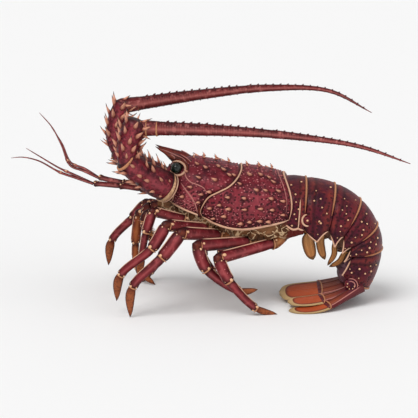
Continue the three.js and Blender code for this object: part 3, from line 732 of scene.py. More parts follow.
def carapace_at(place):
    """Top, border, half width and widest height of the carapace at a place from 0 to 1."""
    x = between(FRONT_END, REAR_END, place)
    top, border = value_at(BACK_HEIGHT, x), value_at(BORDER_HEIGHT, x)
    return top, border, value_at(HALF_WIDTH, x), border + WIDEST_SHARE * (top - border)


def shell_surface(place, round_share):
    """Point of the carapace at a place along it and a share round it, -1 to 1 from the left
    border over the back to the right one."""
    top, border, half, widest = carapace_at(place)
    side = math.copysign(1, round_share)
    share = abs(round_share)
    if share <= ARCH_SHARE:
        turn = share / ARCH_SHARE * math.pi / 2
        y, z = half * math.sin(turn), widest + (top - widest) * math.cos(turn)
    else:
        height = 1 - (share - ARCH_SHARE) / (1 - ARCH_SHARE)
        y, z = half * value_at(SKIRT, height), between(border, widest, height)
    return Vector((between(margin_at(FRONT_MARGIN, z), margin_at(REAR_MARGIN, z), place), side * y, z))


def shell_point(x, z, side, lift=0.0):
    """Point of the carapace seen at x and z from the side, and its outward normal."""
    front, rear = margin_at(FRONT_MARGIN, z), margin_at(REAR_MARGIN, z)
    top, border, half, widest = carapace_at((x - front) / (rear - front))
    if z >= widest:
        y = half * math.sin(math.acos(min((z - widest) / (top - widest), 1)))
    else:
        y = half * value_at(SKIRT, max((z - border) / (widest - border), 0))
    slope = (z - widest) / (top - widest) ** 2 * (1 if z > widest else SKIRT_SLOPE)
    point = Vector((x, side * y, z))
    normal = Vector((0, point.y / half ** 2, slope)).normalized()
    return point + normal * lift, normal


def shell_line(points, side, lift):
    """Points of the side view on the carapace."""
    return [shell_point(x, z, side, lift)[0] for x, z in points]


def outward_at(point):
    """Direction from the long axis of the carapace to a point."""
    return (point - Vector((point.x, 0, AXIS_HEIGHT))).normalized()


def groove_place(round_share):
    """Where along the carapace the neck groove crosses this share round it."""
    low, high = 0.05, 0.95
    for _ in range(GROOVE_SEARCHES):
        middle = (low + high) / 2
        point = shell_surface(middle, round_share)
        if point.x < value_at(GROOVE, clamped(point.z, GROOVE[0][0], GROOVE[-1][0])):
            low = middle
        else:
            high = middle
    return low


# Large spines of the carapace in the side view, as (x, height), those of the back as (x, y),
# and the length and width of each kind. Those in front of the neck belong to the head.
HEAD_SPINES = [
    (-12, 157), (-3, 154), (11, 154), (-10, 145), (7, 143), (23, 146.5), (1, 131), (-19.5, 135), (-7.5, 128),
    (-11, 119), (-28.5, 124), (-24, 150), (17, 151),
]
THORAX_SPINES = [
    (45, 146), (57, 145.5), (66, 143), (71, 139), (34, 138.5), (52, 132.5), (62, 132), (21, 125.5),
    (38.5, 124.5), (68, 124), (81, 121), (1.5, 113), (12, 117), (22, 113), (39.5, 112.5), (57, 113.5),
    (69, 112), (5.5, 101.5), (17, 104.5), (35, 96.5), (44.5, 98.5), (56, 99.5), (65, 98.5), (81, 106),
    (76, 131), (28, 146),
]
SHELL_SPINE = (6.6, 3.2)
RIDGE_SPINES = [(-16, 5), (-5, 6.5), (8, 5.5), (22, 4.5), (42, 6), (55, 5.5), (69, 5)]
RIDGE_SPINE = (4.6, 2.6)
NECK_X = 35

# Relief of the carapace near its spines and ends, and shade painted near its spines, knobs, ends
# and borders, as (strength, reach in millimetres)
SPINE_MOUND = (0.9, 2.6)
END_SINK = (1.4, 2.6)
END_PAINTED_SHADE = (0.55, 3.4)
BORDER_PAINTED_SHADE = (0.55, 4.5)
SPINE_PAINTED_SHADOW = (0.65, 3.8, 4)
KNOB_PAINTED_SHADOW = (0.3, 1.7)
DARKEST = 0.85
SHELL_LENGTH = 130
SIDE_GIRTH = 60

# Lighter patches of the flank and the cheek, as (strength, middle and reach along the shell,
# middle and reach of the height), and the height below which the shell is pitted
FLANK_PATCH = (0.5, (0.45, 0.34), (116, 18))
CHEEK_PATCH = (0.7, (-22, 13), (120, 15))
PITTED_BELOW = 146

# Scattered knobs as (distance apart, sizes, first share round the shell): those all over it,
# and half as many more near its border
FREE_KNOBS = (3.6, (0.8, 1.9), 0.03)
BORDER_KNOBS = (2.4, (0.9, 1.5), 0.84)
TRIES_PER_KNOB = 20


def faded(distance, strength, reach, power=2):
    """The strength at no distance, and softly less past the reach."""
    return strength * bell(distance, 0, reach, power)


def patch_at(place, height, strength, along, upwards):
    return strength * bell(place, *along) * bell(height, *upwards)


def keep_apart(point, chosen, distance):
    return all((point - other).length > distance for other in chosen)


def scatter_knobs(first, last, count, taken, apart, sizes, upper):
    """Random places and sizes for small knobs on one side of the carapace, clear of the spines."""
    found = []
    tries = 0
    while len(found) < count and tries < count * TRIES_PER_KNOB:
        tries += 1
        share = draw.uniform(upper, 0.98)
        place = between(first(share), last(share), draw.uniform(0.03, 0.97))
        point = shell_surface(place, -share)
        if keep_apart(point, taken, apart) and keep_apart(point, [p for p, _ in found], apart * 0.75):
            found.append((point, draw.uniform(*sizes)))
    return found


def flipped(point, side):
    return Vector((point.x, abs(point.y) * side, point.z))


def on_both_sides(points):
    return [flipped(point, side) for point in points for side in SIDES]


def build_shell_plate(name, first, last, spines, knob_count, columns, rows):
    """Head or thorax plate between two places, each a function of the share round it, with
    its spines and knobs."""
    piece = Piece(name)
    roots = shell_line(spines, LEFT, 0)
    knobs = scatter_knobs(first, last, knob_count, roots, *FREE_KNOBS)
    knobs += scatter_knobs(first, last, knob_count // 2, roots, *BORDER_KNOBS)
    spine_tree = roots_tree(on_both_sides(roots))
    knob_tree = roots_tree(on_both_sides([point for point, _ in knobs]))

    def shape(u, v):
        share = v * 2 - 1
        start, end = first(abs(share)), last(abs(share))
        point = shell_surface(between(start, end, u), share)
        to_spine, to_knob = spine_tree.find(point)[2], knob_tree.find(point)[2]
        to_end = min(u, 1 - u) * (end - start) * SHELL_LENGTH
        to_border = (1 - abs(share)) * SIDE_GIRTH
        lift = faded(to_spine, *SPINE_MOUND) + 0.25 * noise.noise(point * 0.16) - faded(to_end, *END_SINK)
        # shade painted at the ends and the border of the plate, and shadow painted round the roots of spines
        # and knobs
        painted_margin_shade = faded(to_end, *END_PAINTED_SHADE) + faded(to_border, *BORDER_PAINTED_SHADE)
        rings = faded(to_spine, *SPINE_PAINTED_SHADOW) + faded(to_knob, *KNOB_PAINTED_SHADOW)
        patches = patch_at(u, point.z, *FLANK_PATCH) + patch_at(point.x, point.z, *CHEEK_PATCH)
        marks = {
            "painted_shade_and_dark_joints": min(DARKEST, painted_margin_shade + rings),
            "pitted": clamped((PITTED_BELOW - point.z) / 16, 0.25),
            "painted_highlight_and_tint": patches + 0.45 * max(0, noise.noise(point * 0.05)),
        }
        return point + outward_at(point) * lift, marks

    piece.plate(shape, columns, rows, SHELL, SHELL_WALL, SHELL_CENTRE)
    for x, z in spines:
        for side in SIDES:
            point, normal = shell_point(x, z, side, 0.4)
            length, width = (varied(size, 0.18) for size in SHELL_SPINE)
            piece.thorn(point, normal, AHEAD + UP * 0.15, length, width, SPINE, lean=1.5)
    for point, size in knobs:
        for side in SIDES:
            place = flipped(point, side)
            normal = outward_at(place)
            piece.dome(place + normal * 0.15, normal, size, KNOB, 0.7, 1.25)
    return piece


def surface_bead(piece, places, width, look=RIM, lift=0.3, rings=120):
    """A raised line through (place, share round) points of the carapace."""
    points = [shell_surface(place, share) for place, share in places]
    piece.bead([point + outward_at(point) * lift for point in points], width, look, rings=rings)


def before_groove(share):
    return groove_place(share) - HALF_GAP


def behind_groove(share):
    return groove_place(share) + HALF_GAP


head = build_shell_plate("head_shell", lambda share: 0.0, before_groove, HEAD_SPINES, 100, 84, 132)
thorax = build_shell_plate("thorax_shell", behind_groove, lambda share: 1.0, THORAX_SPINES, 150, 96, 140)

# Borders of both plates, and the strip of skin between the cheek and the neck groove

EDGE_STEPS = 24
EDGE_SHARES = [i / EDGE_STEPS for i in range(-EDGE_STEPS, EDGE_STEPS + 1)]
FACE_SHARE = 0.35
FRONT_PLACE, REAR_PLACE = 0.012, 0.995
CHEEK_LINE = [(-30.6, 138.6), (-25.5, 132), (-20.6, 126), (-16, 119), (-13.3, 111), (-12.6, 106.5)]
CHEEK_STRIP = [(-10.5, 120), (-10.6, 113), (-10.2, 107), (-9.4, 102.5)]
CHEEK_STRIP_PROFILE = [(0, 0.6, 1), (0.5, 3.4, 1.2), (1, 5.4, 1.4)]

surface_bead(thorax, [(behind_groove(abs(share)), share) for share in EDGE_SHARES], 1.7)
surface_bead(thorax, [(REAR_PLACE, share) for share in EDGE_SHARES], 1.9)
surface_bead(thorax, [(0.955, share * 0.86) for share in EDGE_SHARES], 0.9, SEAM, lift=0.1)
for side in SIDES:
    face_shares = [share for share in EDGE_SHARES if share * side > FACE_SHARE]
    surface_bead(head, [(FRONT_PLACE, share) for share in face_shares], 1.2, rings=40)
for side in SIDES:
    thorax_places = steps(behind_groove(1), REAR_PLACE, 21)
    head_places = steps(0.01, before_groove(1), 11)
    surface_bead(thorax, [(place, side) for place in thorax_places], 2.4, rings=80)
    surface_bead(head, [(place, side) for place in head_places], 2.0, rings=40)
for side in SIDES:
    head.bead(shell_line(CHEEK_LINE, side, 0.35), 1.4, SEAM)
for side in SIDES:
    head.limb(Line(shell_line(CHEEK_STRIP, side, 0.1)), CHEEK_STRIP_PROFILE, JOINT, sides=12, rings=12)

for x, y in RIDGE_SPINES:
    for side in SIDES:
        top = carapace_at((x - FRONT_END) / (REAR_END - FRONT_END))[0]
        point = Vector((x, side * y, top - 0.4))
        normal = (UP + ACROSS * side * 0.2).normalized()
        length, width = (varied(size, 0.15) for size in RIDGE_SPINE)
        target = head if x < NECK_X else thorax
        target.thorn(point, normal, AHEAD, length, width, SPINE, lean=0.5)

# Face, horns, eye rings, eyestalks and sockets belong to the head

EYE_RADIUS = 6.1
EYE_CENTRE = (-35.5, 23.5, 153.5)
FACE_CENTRE = Vector((-50, 0, 134))
FACE_LINE = [(-36, 0, 140), (-46, 0, 135), (-56, 0, 131)]
FACE_PROFILE = [(0, 22), (0.5, 27), (0.85, 21), (1, 8)]
STALK_ROOT = (-24, 10, 150)
STALK_PROFILE = [(0, 10), (0.6, 13), (1, 12.5)]
HORN_LINE = [(-13, 13, 152), (-24, 12.5, 155.7), (-34, 11.5, 160.6), (-40, 10.6, 163.7), (-44, 9.8, 166.1),
             (-47.5, 8.8, 168.2), (-53, 7.2, 170.9), (-58.6, 5.8, 174)]
HORN_PROFILE = [(0, 9, 9), (0.22, 13, 12), (0.44, 12, 12), (0.57, 9, 8.6), (0.66, 6.6, 5.6), (0.74, 4.6, 3.6),
                (0.87, 3, 2.3), (1, 0.4, 0.4)]

# Raised lines of the brow: along the horn and round the eye, and two short ones
BROW_LINES = [
    [(-54, 7.4, 172.2), (-47.5, 10, 170), (-40, 13, 167.4), (-34, 15.4, 165.2), (-28, 17, 162.4),
     (-24.8, 19, 158.6), (-23.4, 21.8, 154.6), (-25.8, 30, 147.5), (-20.6, 35.6, 140.8), (-11.9, 39.4, 137.9),
     (-5.4, 41.9, 134.7), (-2.5, 43.4, 129.5)],
    [(-31, 13, 166.4), (-24, 14.5, 162.4), (-18.8, 17.2, 158)],
    [(-42, 12.8, 166.6), (-37.5, 16, 163.4), (-38.5, 16.4, 158.6)],
]

# Ring round the eye, open at its front: reaches along and up, and how far inwards it lies
# in the middle, to the front and at the bottom
EYE_RING_SHIFT = 1.2
EYE_RING_REACH = (8.6, 7.3)
EYE_RING_INWARDS = (1.2, 3.2, 5)
EYE_RING_TURNS = steps(-155, 130, 25)
EYE_RING_GROWTH = 1.24


def front_cap(u, v):
    """Closes the head behind the eyes and the feelers."""
    rim = shell_surface(0.0, v * 2 - 1)
    point = rim.lerp(FACE_CENTRE, u)
    point.x = between(rim.x, FACE_CENTRE.x, math.sin(u * math.pi / 2))
    return point, {"painted_highlight_and_tint": 0.2}


def eye_ring(eye, side):
    """Points of the raised ring round an eye."""
    middle, front, bottom = EYE_RING_INWARDS
    points = []
    for turn in EYE_RING_TURNS:
        right, up = math.cos(math.radians(turn)), math.sin(math.radians(turn))
        inwards = middle - front * right + bottom * min(0, up)
        reach = Vector((EYE_RING_SHIFT + right * EYE_RING_REACH[0], -side * inwards, up * EYE_RING_REACH[1]))
        points.append(eye + reach)
    return points


head.plate(front_cap, 12, 60, SHELL)
head.limb(Line(FACE_LINE), FACE_PROFILE, JOINT, sides=24, rings=12)
for side in SIDES:
    head.limb(Line(mirrored(HORN_LINE, side)), HORN_PROFILE, HORN, sides=20, rings=30)
    for points in BROW_LINES:
        head.bead(mirrored(points, side), 1.3, SEAM, rings=12 * len(points))
    eye = Vector(mirrored([EYE_CENTRE], side)[0])
    ring = eye_ring(eye, side)
    socket = [eye + (point - eye) * EYE_RING_GROWTH - ACROSS * side * 1.2 for point in ring]
    head.bead(ring, 2.1, RIM, rings=48, sides=10)
    head.bead(socket, 2.4, JOINT, rings=48, sides=8)
    stalk = Line([mirrored([STALK_ROOT], side)[0], eye + Vector((1, -side * 4, 0))])
    head.limb(stalk, STALK_PROFILE, JOINT, sides=20, rings=10)


# Underside of the thorax, with the roots of the legs

UNDERSIDE_ENDS = (-56, 103)
UNDERSIDE_OUTLINE = [(0, 1.0, 1.0), (0.22, 0.97, 0.7), (0.5, 0.72, 0.25), (0.75, 0.4, 0.02), (1, 0, 0)]
UNDERSIDE_TOP = 117
UNDERSIDE_CENTRE = Vector((20, 0, 95))
SHELL_INSET = 2.5
SHELL_SHARE = 0.9
TAIL_START = 78

# Lobes at the roots of the legs: their places, their width, and how far the pale arc on each
# reaches along and up
LOBE_ROOTS = [-36, -20, -3, 14, 31, 48, 65, 80]
LOBE_WIDTH = 15
LOBE_ARC = (7.4, 5.2)

# Pale folds under the cheek, as (share down, first and last share of the length)
CHEEK_FOLDS = [(0.05, 0.04, 0.33), (0.11, 0.06, 0.3), (0.17, 0.1, 0.28)]


def underside_half(x):
    return SHELL_SHARE * value_at(HALF_WIDTH, max(x, -44)) - SHELL_INSET


def underside_surface(u, v):
    x = between(*UNDERSIDE_ENDS, u)
    top = min(value_at(BORDER_HEIGHT, x), value_at(TAIL_FLOOR, x), UNDERSIDE_TOP) + 3
    bottom = value_at(BELLY_HEIGHT, x)
    share = v * 2 - 1
    down = 1 - abs(share)
    y = math.copysign(1, share) * underside_half(x) * value_at(widths_of(UNDERSIDE_OUTLINE), down)
    point = Vector((x, y, between(bottom, top, value_at(depths_of(UNDERSIDE_OUTLINE), down))))
    fold = 1.1 * noise.noise(Vector((x * 0.14, point.y * 0.05, point.z * 0.2)))
    outward = (point - Vector((x, 0, top))).normalized()
    return point + outward * fold, {"painted_highlight_and_tint": clamped((x - TAIL_START) / 10)}


underside = Piece("underside")
underside.plate(underside_surface, 110, 60, SKIN, 1.2, UNDERSIDE_CENTRE)
for down, first, last in CHEEK_FOLDS:
    for side in SIDES:
        share = (1 + side * (1 - down)) / 2
        fold_points = [underside_surface(u, share)[0] for u in steps(first, last, 13)]
        underside.bead(fold_points, 1.9, CREAM, rings=40)

for x in LOBE_ROOTS:
    for side in SIDES:
        height = between(value_at(BELLY_HEIGHT, x), value_at(BORDER_HEIGHT, x), 0.62)
        point = Vector((x, side * underside_half(x) * 0.9, height))
        outward = Vector((0, side, -0.35)).normalized()
        right, up = BEHIND * LOBE_ARC[0], UP * LOBE_ARC[1]
        underside.dome(point, outward, LOBE_WIDTH, SKIN, 0.5, 0.8)
        underside.bead(arc(point + outward * 2.6, 20, 140, 9, right, up), 1.3, CREAM, rings=20)


# Details of limbs

LIMB_THICKNESS = 0.86
CRESCENT_SHAPE = [(0, 0.15), (0.25, 0.7), (0.5, 1), (0.75, 0.7), (1, 0.15)]
HINGE_LEAN = 0.55

# Knobs on each face of a hinge, as (turn in leans, size, distance back)
HINGE_KNOBS = [(-1, 1.0, 0.0), (1.4, 0.7, 0.5), (-2.0, 0.55, 0.9)]


def top_turn(across):
    """Turn of the upper edge of a limb whose section has this direction."""
    return 0 if across.z > 0 else math.pi


def limb_edge(line, profile, first, last, flip=False):
    """Points along the upper edge of a limb, or along its lower one."""
    points = []
    for place in steps(first, last, 12):
        centre, _, across, _ = station(line, place)
        edge = top_turn(across) + (math.pi if flip else 0)
        points.append(centre + across * math.cos(edge) * value_at(widths_of(profile), place) / 2)
    return points


def crescent(piece, line, place, width, size, look, middle, sweep=200, thickness=1.0):
    """A raised arc round a limb, thickest towards a direction."""
    centre, _, across, front = station(line, place)
    turn = math.atan2(middle.dot(front), middle.dot(across))
    right, up = across * width / 2, front * width * thickness / 2
    points = arc(centre, math.degrees(turn) - sweep / 2, sweep, 17, right, up)
    piece.limb(Line(points), times(CRESCENT_SHAPE, size), look, sides=8, rings=28)


def hinge_knobs(piece, line, place, width, size):
    """The paired knobs of a hinge, a large one on each face and small ones beside it."""
    centre, along, across, front = station(line, place)
    lean = HINGE_LEAN if top_turn(across) == 0 else -HINGE_LEAN
    for side in SIDES:
        face = math.copysign(1, front.dot(ACROSS) * side)
        for leans, share, back in HINGE_KNOBS:
            turn = face * (math.pi / 2 + leans * lean)
            out = across * math.cos(turn) + front * math.sin(turn) * LIMB_THICKNESS
            point = centre + out * width * 0.46 - along * size * back
            piece.dome(point, out.normalized(), varied(size * share), DOT, 0.8, 1.3, along)


def limb_dots(piece, line, profile, count, first=0.15, last=0.85, look=KNOB, sizes=(0.8, 1.4)):
    """Small knobs scattered over a limb."""
    for _ in range(count):
        place = draw.uniform(first, last)
        centre, along, out = spoke(line, place, draw.uniform(0, 2 * math.pi), LIMB_THICKNESS)
        half = value_at(widths_of(profile), place) / 2
        piece.dome(centre + out * half * 0.97, out.normalized(), draw.uniform(*sizes), look, 0.7, 1.2, along)


# Legs: an upper shell from the hip to the knee, and a lower one with shin, foot and claw

LEG_WIDTHS = [9.5, 11.5, 12.5, 12, 11.5]
CLAW_SIZES = [1.0, 0.94, 0.88, 0.7, 0.7]
HIP = [(0, 0.9), (0.5, 1.15), (0.85, 1.22), (1, 0.9)]
THIGH = [(0, 0.7), (0.05, 0.95), (0.14, 1.0), (0.5, 1.04), (0.8, 1.1), (0.94, 1.14), (1, 0.75)]
KNEE = [(0, 0.6), (0.5, 0.96), (1, 0.6)]
SHIN = [(0, 0.6), (0.06, 1.0), (0.3, 1.1), (0.7, 1.06), (0.93, 1.06), (1, 0.7)]
FOOT = [(0, 0.5), (0.06, 0.82), (0.3, 0.8), (0.85, 0.78), (0.95, 0.84), (1, 0.5)]
CLAW_SHAPE = [(0, 0.4, 0.4), (0.06, 0.74, 0.62), (0.25, 0.94, 0.7), (0.5, 0.84, 0.56), (0.75, 0.56, 0.38),
              (0.9, 0.28, 0.22), (1, 0.03, 0.03)]

# Root, hip, knee, wrist, ankle and tip of each leg, from the first to the fifth
LEGS = {
    LEFT: [
        [(-20, -20, 95), (-27, -29, 98), (-61, -50, 111), (-68, -55, 88), (-73, -52, 60), (-77, -46, 36)],
        [(8, -18, 85), (-2, -30, 88), (-46, -70, 100), (-62, -75, 75), (-95, -72, 45.5), (-100, -62, 14.5)],
        [(22, -18, 80), (11, -31, 81), (-30, -73, 92), (-51, -79, 66), (-82, -80, 34), (-85, -77, 0)],
        [(56, -18, 75), (44, -30, 73), (-13, -72, 78), (-2, -68, 50.5), (34, -62, 25.5), (53, -57, 26)],
        [(82, -16, 75), (71, -29, 71.5), (9.5, -72, 64), (22.5, -73, 38.5), (51, -69, 8), (74, -64, 0)],
    ],
    RIGHT: [
        [(-20, 20, 95), (-27, 29, 97), (-79, 54, 87), (-83, 62, 50), (-81, 71, 19), (-61, 69, 0)],
        [(8, 18, 85), (-2, 30, 88), (-71, 74, 94), (-87, 81, 75), (-111, 87, 47.5), (-115, 86, 19)],
        [(22, 18, 80), (11, 31, 79), (-31, 75, 60), (-51, 84, 33), (-69, 88, 10), (-81, 82, 0)],
        [(56, 18, 75), (44, 30, 73), (-8, 72, 50), (-7, 87, 29), (5, 89, 10), (16, 81, 0)],
        [(82, 16, 75), (71, 29, 71.5), (19, 67, 56), (14, 85, 37), (18, 88, 12), (27, 81, 0)],
    ],
}


def scaled(profile, width):
    return [(row[0], row[1] * width, row[-1] * width * LIMB_THICKNESS) for row in profile]


def leg_band(piece, line, place, width, size, outward, sweep):
    crescent(piece, line, place, width, size, BAND, outward, sweep, LIMB_THICKNESS)


def build_hip(root, hip, knee, width, outward):
    """The pale first length of a leg, which belongs to the underside."""
    line = Line([root, hip, hip.lerp(knee, 0.06)])
    underside.limb(line, scaled(HIP, width), COXA, sides=24, rings=14)
    hinge_knobs(underside, line, 0.8, width * 1.2, 3.0)
    leg_band(underside, line, 0.92, width * 1.2, 1.6, outward, 200)


def build_thigh(name, hip, knee, width, look, outward):
    upper = Piece(name + "_upper_shell")
    thigh = Line([hip, knee])
    profile = scaled(THIGH, width)
    upper.limb(thigh, profile, look, sides=24, rings=30)
    upper.bead(limb_edge(thigh, profile, 0.06, 0.9), 1.3, RIM)
    upper.bead(limb_edge(thigh, profile, 0.1, 0.88, flip=True), 1.0, SEAM)
    hinge_knobs(upper, thigh, 0.92, width * 1.1, 3.8)
    leg_band(upper, thigh, 0.96, width * 1.1, 1.4, outward, 150)
    limb_dots(upper, thigh, profile, 12)
    upper.finish("leg", name + "_upper")


def build_shin(name, hip, joints, width, claw_width, look, outward):
    """The skin of the knee, then shin, foot and claw along one line."""
    lower = Piece(name + "_lower_shell")
    knee, wrist, ankle, tip = joints
    whole = Line(joints)
    lengths = [(knee - wrist).length, (wrist - ankle).length, (ankle - tip).length]
    wrist_place = lengths[0] / sum(lengths)
    ankle_place = (lengths[0] + lengths[1]) / sum(lengths)
    back, ahead = (hip - knee).normalized(), (wrist - knee).normalized()
    skin = Line([knee + back * width * 0.5, knee, knee + ahead * width * 0.5])
    lower.limb(skin, times(KNEE, width), JOINT, sides=20, rings=12)

    shin_profile, foot_profile = scaled(SHIN, width), scaled(FOOT, width)
    lower.limb(whole, shin_profile, look, (0, wrist_place), 24, 20)
    lower.limb(whole, foot_profile, look, (wrist_place - 0.02, ankle_place), 20, 24)
    lower.limb(whole, scaled(CLAW_SHAPE, claw_width), CLAW, (ankle_place - 0.01, 1), 20, 24)
    shin = Line([whole.at(place) for place in steps(0, wrist_place, 7)])
    foot = Line([whole.at(place) for place in steps(wrist_place, ankle_place, 7)])
    lower.bead(limb_edge(shin, shin_profile, 0.1, 0.9), 1.1, RIM)
    lower.bead(limb_edge(shin, shin_profile, 0.12, 0.88, flip=True), 0.9, SEAM)
    lower.bead(limb_edge(foot, foot_profile, 0.1, 0.9), 0.9, RIM)

    leg_band(lower, whole, wrist_place * 0.985, width * 1.06, 1.7, outward, 170)
    leg_band(lower, whole, ankle_place, width * 0.82, 1.5, outward, 170)
    hinge_knobs(lower, whole, wrist_place * 0.12, width, 2.6)
    hinge_knobs(lower, whole, wrist_place * 0.94, width * 1.02, 3.4)
    hinge_knobs(lower, whole, ankle_place * 0.985, width * 0.84, 2.8)
    limb_dots(lower, shin, shin_profile, 10)
    lower.finish("leg", name + "_lower")


for side in SIDES:
    for number, points in enumerate(LEGS[side]):
        root, hip, *joints = (Vector(point) for point in points)
        name = f"leg_{SIDE_NAMES[side]}_{number + 1}"
        width = LEG_WIDTHS[number]
        look = FAR_LEG if name == "leg_right_1" else LEG
        outward = ACROSS * side - UP * 0.4
        build_hip(root, hip, joints[0], width, outward)
        build_thigh(name, hip, joints[0], width, look, outward)
        build_shin(name, hip, joints, width, width * CLAW_SIZES[number], look, outward)

underside.finish("underside", "thorax_underside")

# Eyes

for side in SIDES:
    eye = Piece(f"eye_ball_{SIDE_NAMES[side]}")
    place = Matrix.Translation(Vector(mirrored([EYE_CENTRE], side)[0]))
    ball = start_mesh()[0]
    bmesh.ops.create_uvsphere(ball, u_segments=40, v_segments=28, radius=EYE_RADIUS, matrix=place)
    eye.add(finish_mesh("eye", ball, EYE))
    eye.finish("eye", f"eye_{SIDE_NAMES[side]}")

# Antennae: three thorny joints, and a whip in two lengths

ANTENNAE = {
    LEFT: {
        "base": [(-39, -23, 129), (-55, -33, 139), (-74, -41, 153)],
        "middle": [(-68, -40, 147), (-80, -44, 158), (-92, -49, 169)],
        "end": [(-88, -47, 160), (-87, -48, 178), (-84, -49, 193), (-76, -50, 211)],
        "end_profile": [(0, 15), (0.04, 19), (0.2, 23), (0.5, 25), (0.85, 25), (0.96, 22), (1, 14)],
        "whip": [(-82, -49, 202), (-63, -50, 202), (14, -59, 201), (90, -71, 197), (160, -83, 188),
                 (212.5, -93, 171.5)],
    },
    RIGHT: {
        "base": [(-39, 23, 126), (-57, 31, 131), (-80, 35, 145)],
        "middle": [(-73, 34, 140), (-88, 37, 151), (-103, 39, 164)],
        "end": [(-98, 39, 156), (-104, 40, 176), (-102, 41, 195), (-94, 42, 216)],
        "end_profile": [(0, 14), (0.04, 17), (0.2, 20), (0.5, 21), (0.85, 20), (0.96, 18), (1, 11)],
        "whip": [(-105, 41, 210), (-84, 43, 212.5), (-10, 51, 222), (68, 61, 228), (135, 70, 223),
                 (183, 79, 197)],
    },
}
BASE_PROFILE = [(0, 12), (0.12, 21), (0.26, 30), (0.5, 33), (0.8, 30), (0.95, 27), (1, 21)]
MIDDLE_PROFILE = [(0, 20), (0.06, 24), (0.3, 28), (0.7, 26.5), (0.94, 22), (1, 16)]
CUP_PROFILE = [(0, 18), (0.35, 29), (0.7, 33), (1, 33.4)]
CUP_DEPTH = 12
FEELER_SPINE = (12.5, 3.8)

# Rings of spines on the joints, as (place, count, first turn, size)
BASE_RINGS = [(0.38, 5, 0.14, 0.6), (0.58, 6, 0, 0.85), (0.84, 7, 0.08, 0.95)]
MIDDLE_RINGS = [(0.3, 6, 0.08, 0.9), (0.72, 7, 0, 1.0)]
END_RINGS = [(0.24, 6, 0.08, 0.85), (0.4, 6, 0, 1.0), (0.56, 6, 0.08, 1.0), (0.72, 6, 0, 1.05),
             (0.9, 6, 0.08, 1.0)]

# Bands round the joints and the root of the whip, as (place, width, size, sweep)
BASE_BANDS = [(0.97, 26, 2.6, 200)]
MIDDLE_BANDS = [(0.9, 25, 3.2, 230)]
WHIP_BANDS = [(0.03, 16.5, 2.6, 250), (0.05, 17, 1.6, 250), (0.088, 16, 2.0, 250)]

WHIP_PROFILE = [(0, 12), (0.03, 17), (0.085, 16), (0.1, 15), (0.28, 12.8), (0.46, 10), (0.6, 7.6),
                (0.75, 5.4), (0.88, 3.8), (1, 0.8)]

# The two lengths of a whip and where they start, and the rings round it past its smooth root
WHIP_HALF = 0.5
WHIP_PARTS = (("inner", 0.0), ("outer", WHIP_HALF))
WHIP_SMOOTH_END = 0.09
WHIP_WAVES = 110
WHIP_THORN_STEP = 0.028
WHIP_THORN_ENDS = (0.1, 0.97)
WHIP_ROOT_TURNS = (0.4, 1.5, 2.7, -0.8, -2.0)

# Small thorns round the whip, as (turn, share of the size)
WHIP_THORNS = ((0, 1.0), (0.8, 0.8), (-0.8, 0.8), (math.pi, 0.5))


def build_antenna_joint(side, part, profile, rings, knob_count, bands=()):
    label = f"antenna_{SIDE_NAMES[side]}_{part}"
    line = Line(ANTENNAE[side][part])
    joint = Piece(label + "_shell")
    joint.limb(line, profile, SHELL, sides=36, rings=36)
    for place, count, start, size in rings:
        half = value_at(profile, place) / 2
        for k in range(count):
            turn = (start + k / count + draw.uniform(-0.02, 0.02)) * 2 * math.pi
            centre, along, normal = spoke(line, place, turn)
            length, width = (varied(share * size, 0.16) for share in FEELER_SPINE)
            joint.thorn(centre + normal * half * 0.98, normal, along, length, width, SPINE, lean=1.2)
    limb_dots(joint, line, profile, knob_count, 0.05, 0.95, KNOB, (1.0, 2.2))
    for place, width, size, sweep in bands:
        crescent(joint, line, place, width, size, BAND, ACROSS * side - UP * 0.6, sweep)
    joint.finish("shell", label)


def build_whip(side, part, first):
    """Half of a whip from its place along the whole one, with fine rings and rows of thorns."""
    label = f"antenna_{SIDE_NAMES[side]}_whip_{part}"
    line = Line(ANTENNAE[side]["whip"])
    whip = Piece(label + "_shell")
    last = first + WHIP_HALF
    inside = [((place - first) / WHIP_HALF, width) for place, width in WHIP_PROFILE if first < place < last]
    ends = [(there, value_at(WHIP_PROFILE, place)) for there, place in ((0, first), (1, last))]

    def annuli(place, turn):
        there = first + place * WHIP_HALF
        return 1 + (0.03 * math.sin(there * WHIP_WAVES * 2 * math.pi) if there > WHIP_SMOOTH_END else 0)

    whip.limb(line, [ends[0], *inside, ends[1]], WHIP, (first, last), 20, 220, shape=annuli)
    for k in range(int(WHIP_HALF / WHIP_THORN_STEP)):
        place = first + (k + 0.5) * WHIP_THORN_STEP
        if not WHIP_THORN_ENDS[0] <= place <= WHIP_THORN_ENDS[1]:
            continue
        half = value_at(WHIP_PROFILE, place) / 2
        for turn, share in WHIP_THORNS:
            centre, along, normal = spoke(line, place, turn)
            size = (0.4 + 0.6 * half / 8) * share
            length, width = varied(2.6 * size), varied(3.2 * size)
            whip.thorn(centre + normal * half * 0.95, normal, along, length, width, NUB, sides=6)
    if part == "inner":
        for place, width, size, sweep in WHIP_BANDS:
            crescent(whip, line, place, width, size, BAND, ACROSS * side - UP * 0.6, sweep)
        for turn in WHIP_ROOT_TURNS:
            centre, along, normal = spoke(line, 0.04, turn)
            whip.thorn(centre + normal * 7.6, normal, along, varied(9), 3.4, SPINE, lean=1.6)
    whip.finish("feeler", label)


def build_socket(side):
    """The cup on the head that an antenna stands in, with two pale arcs."""
    root, bulb, _ = (Vector(point) for point in ANTENNAE[side]["base"])
    lip = bulb.lerp(root, 0.38)
    cup = Line([lip + (root - bulb).normalized() * CUP_DEPTH, lip])
    behind = Vector((0.35, side, -0.75))
    head.limb(cup, CUP_PROFILE, SHELL, sides=36, rings=10)
    crescent(head, cup, 0.8, 32, 5.2, CUP, behind, 240)
    crescent(head, cup, 0.5, 33, 2.0, RIM, behind, 250)


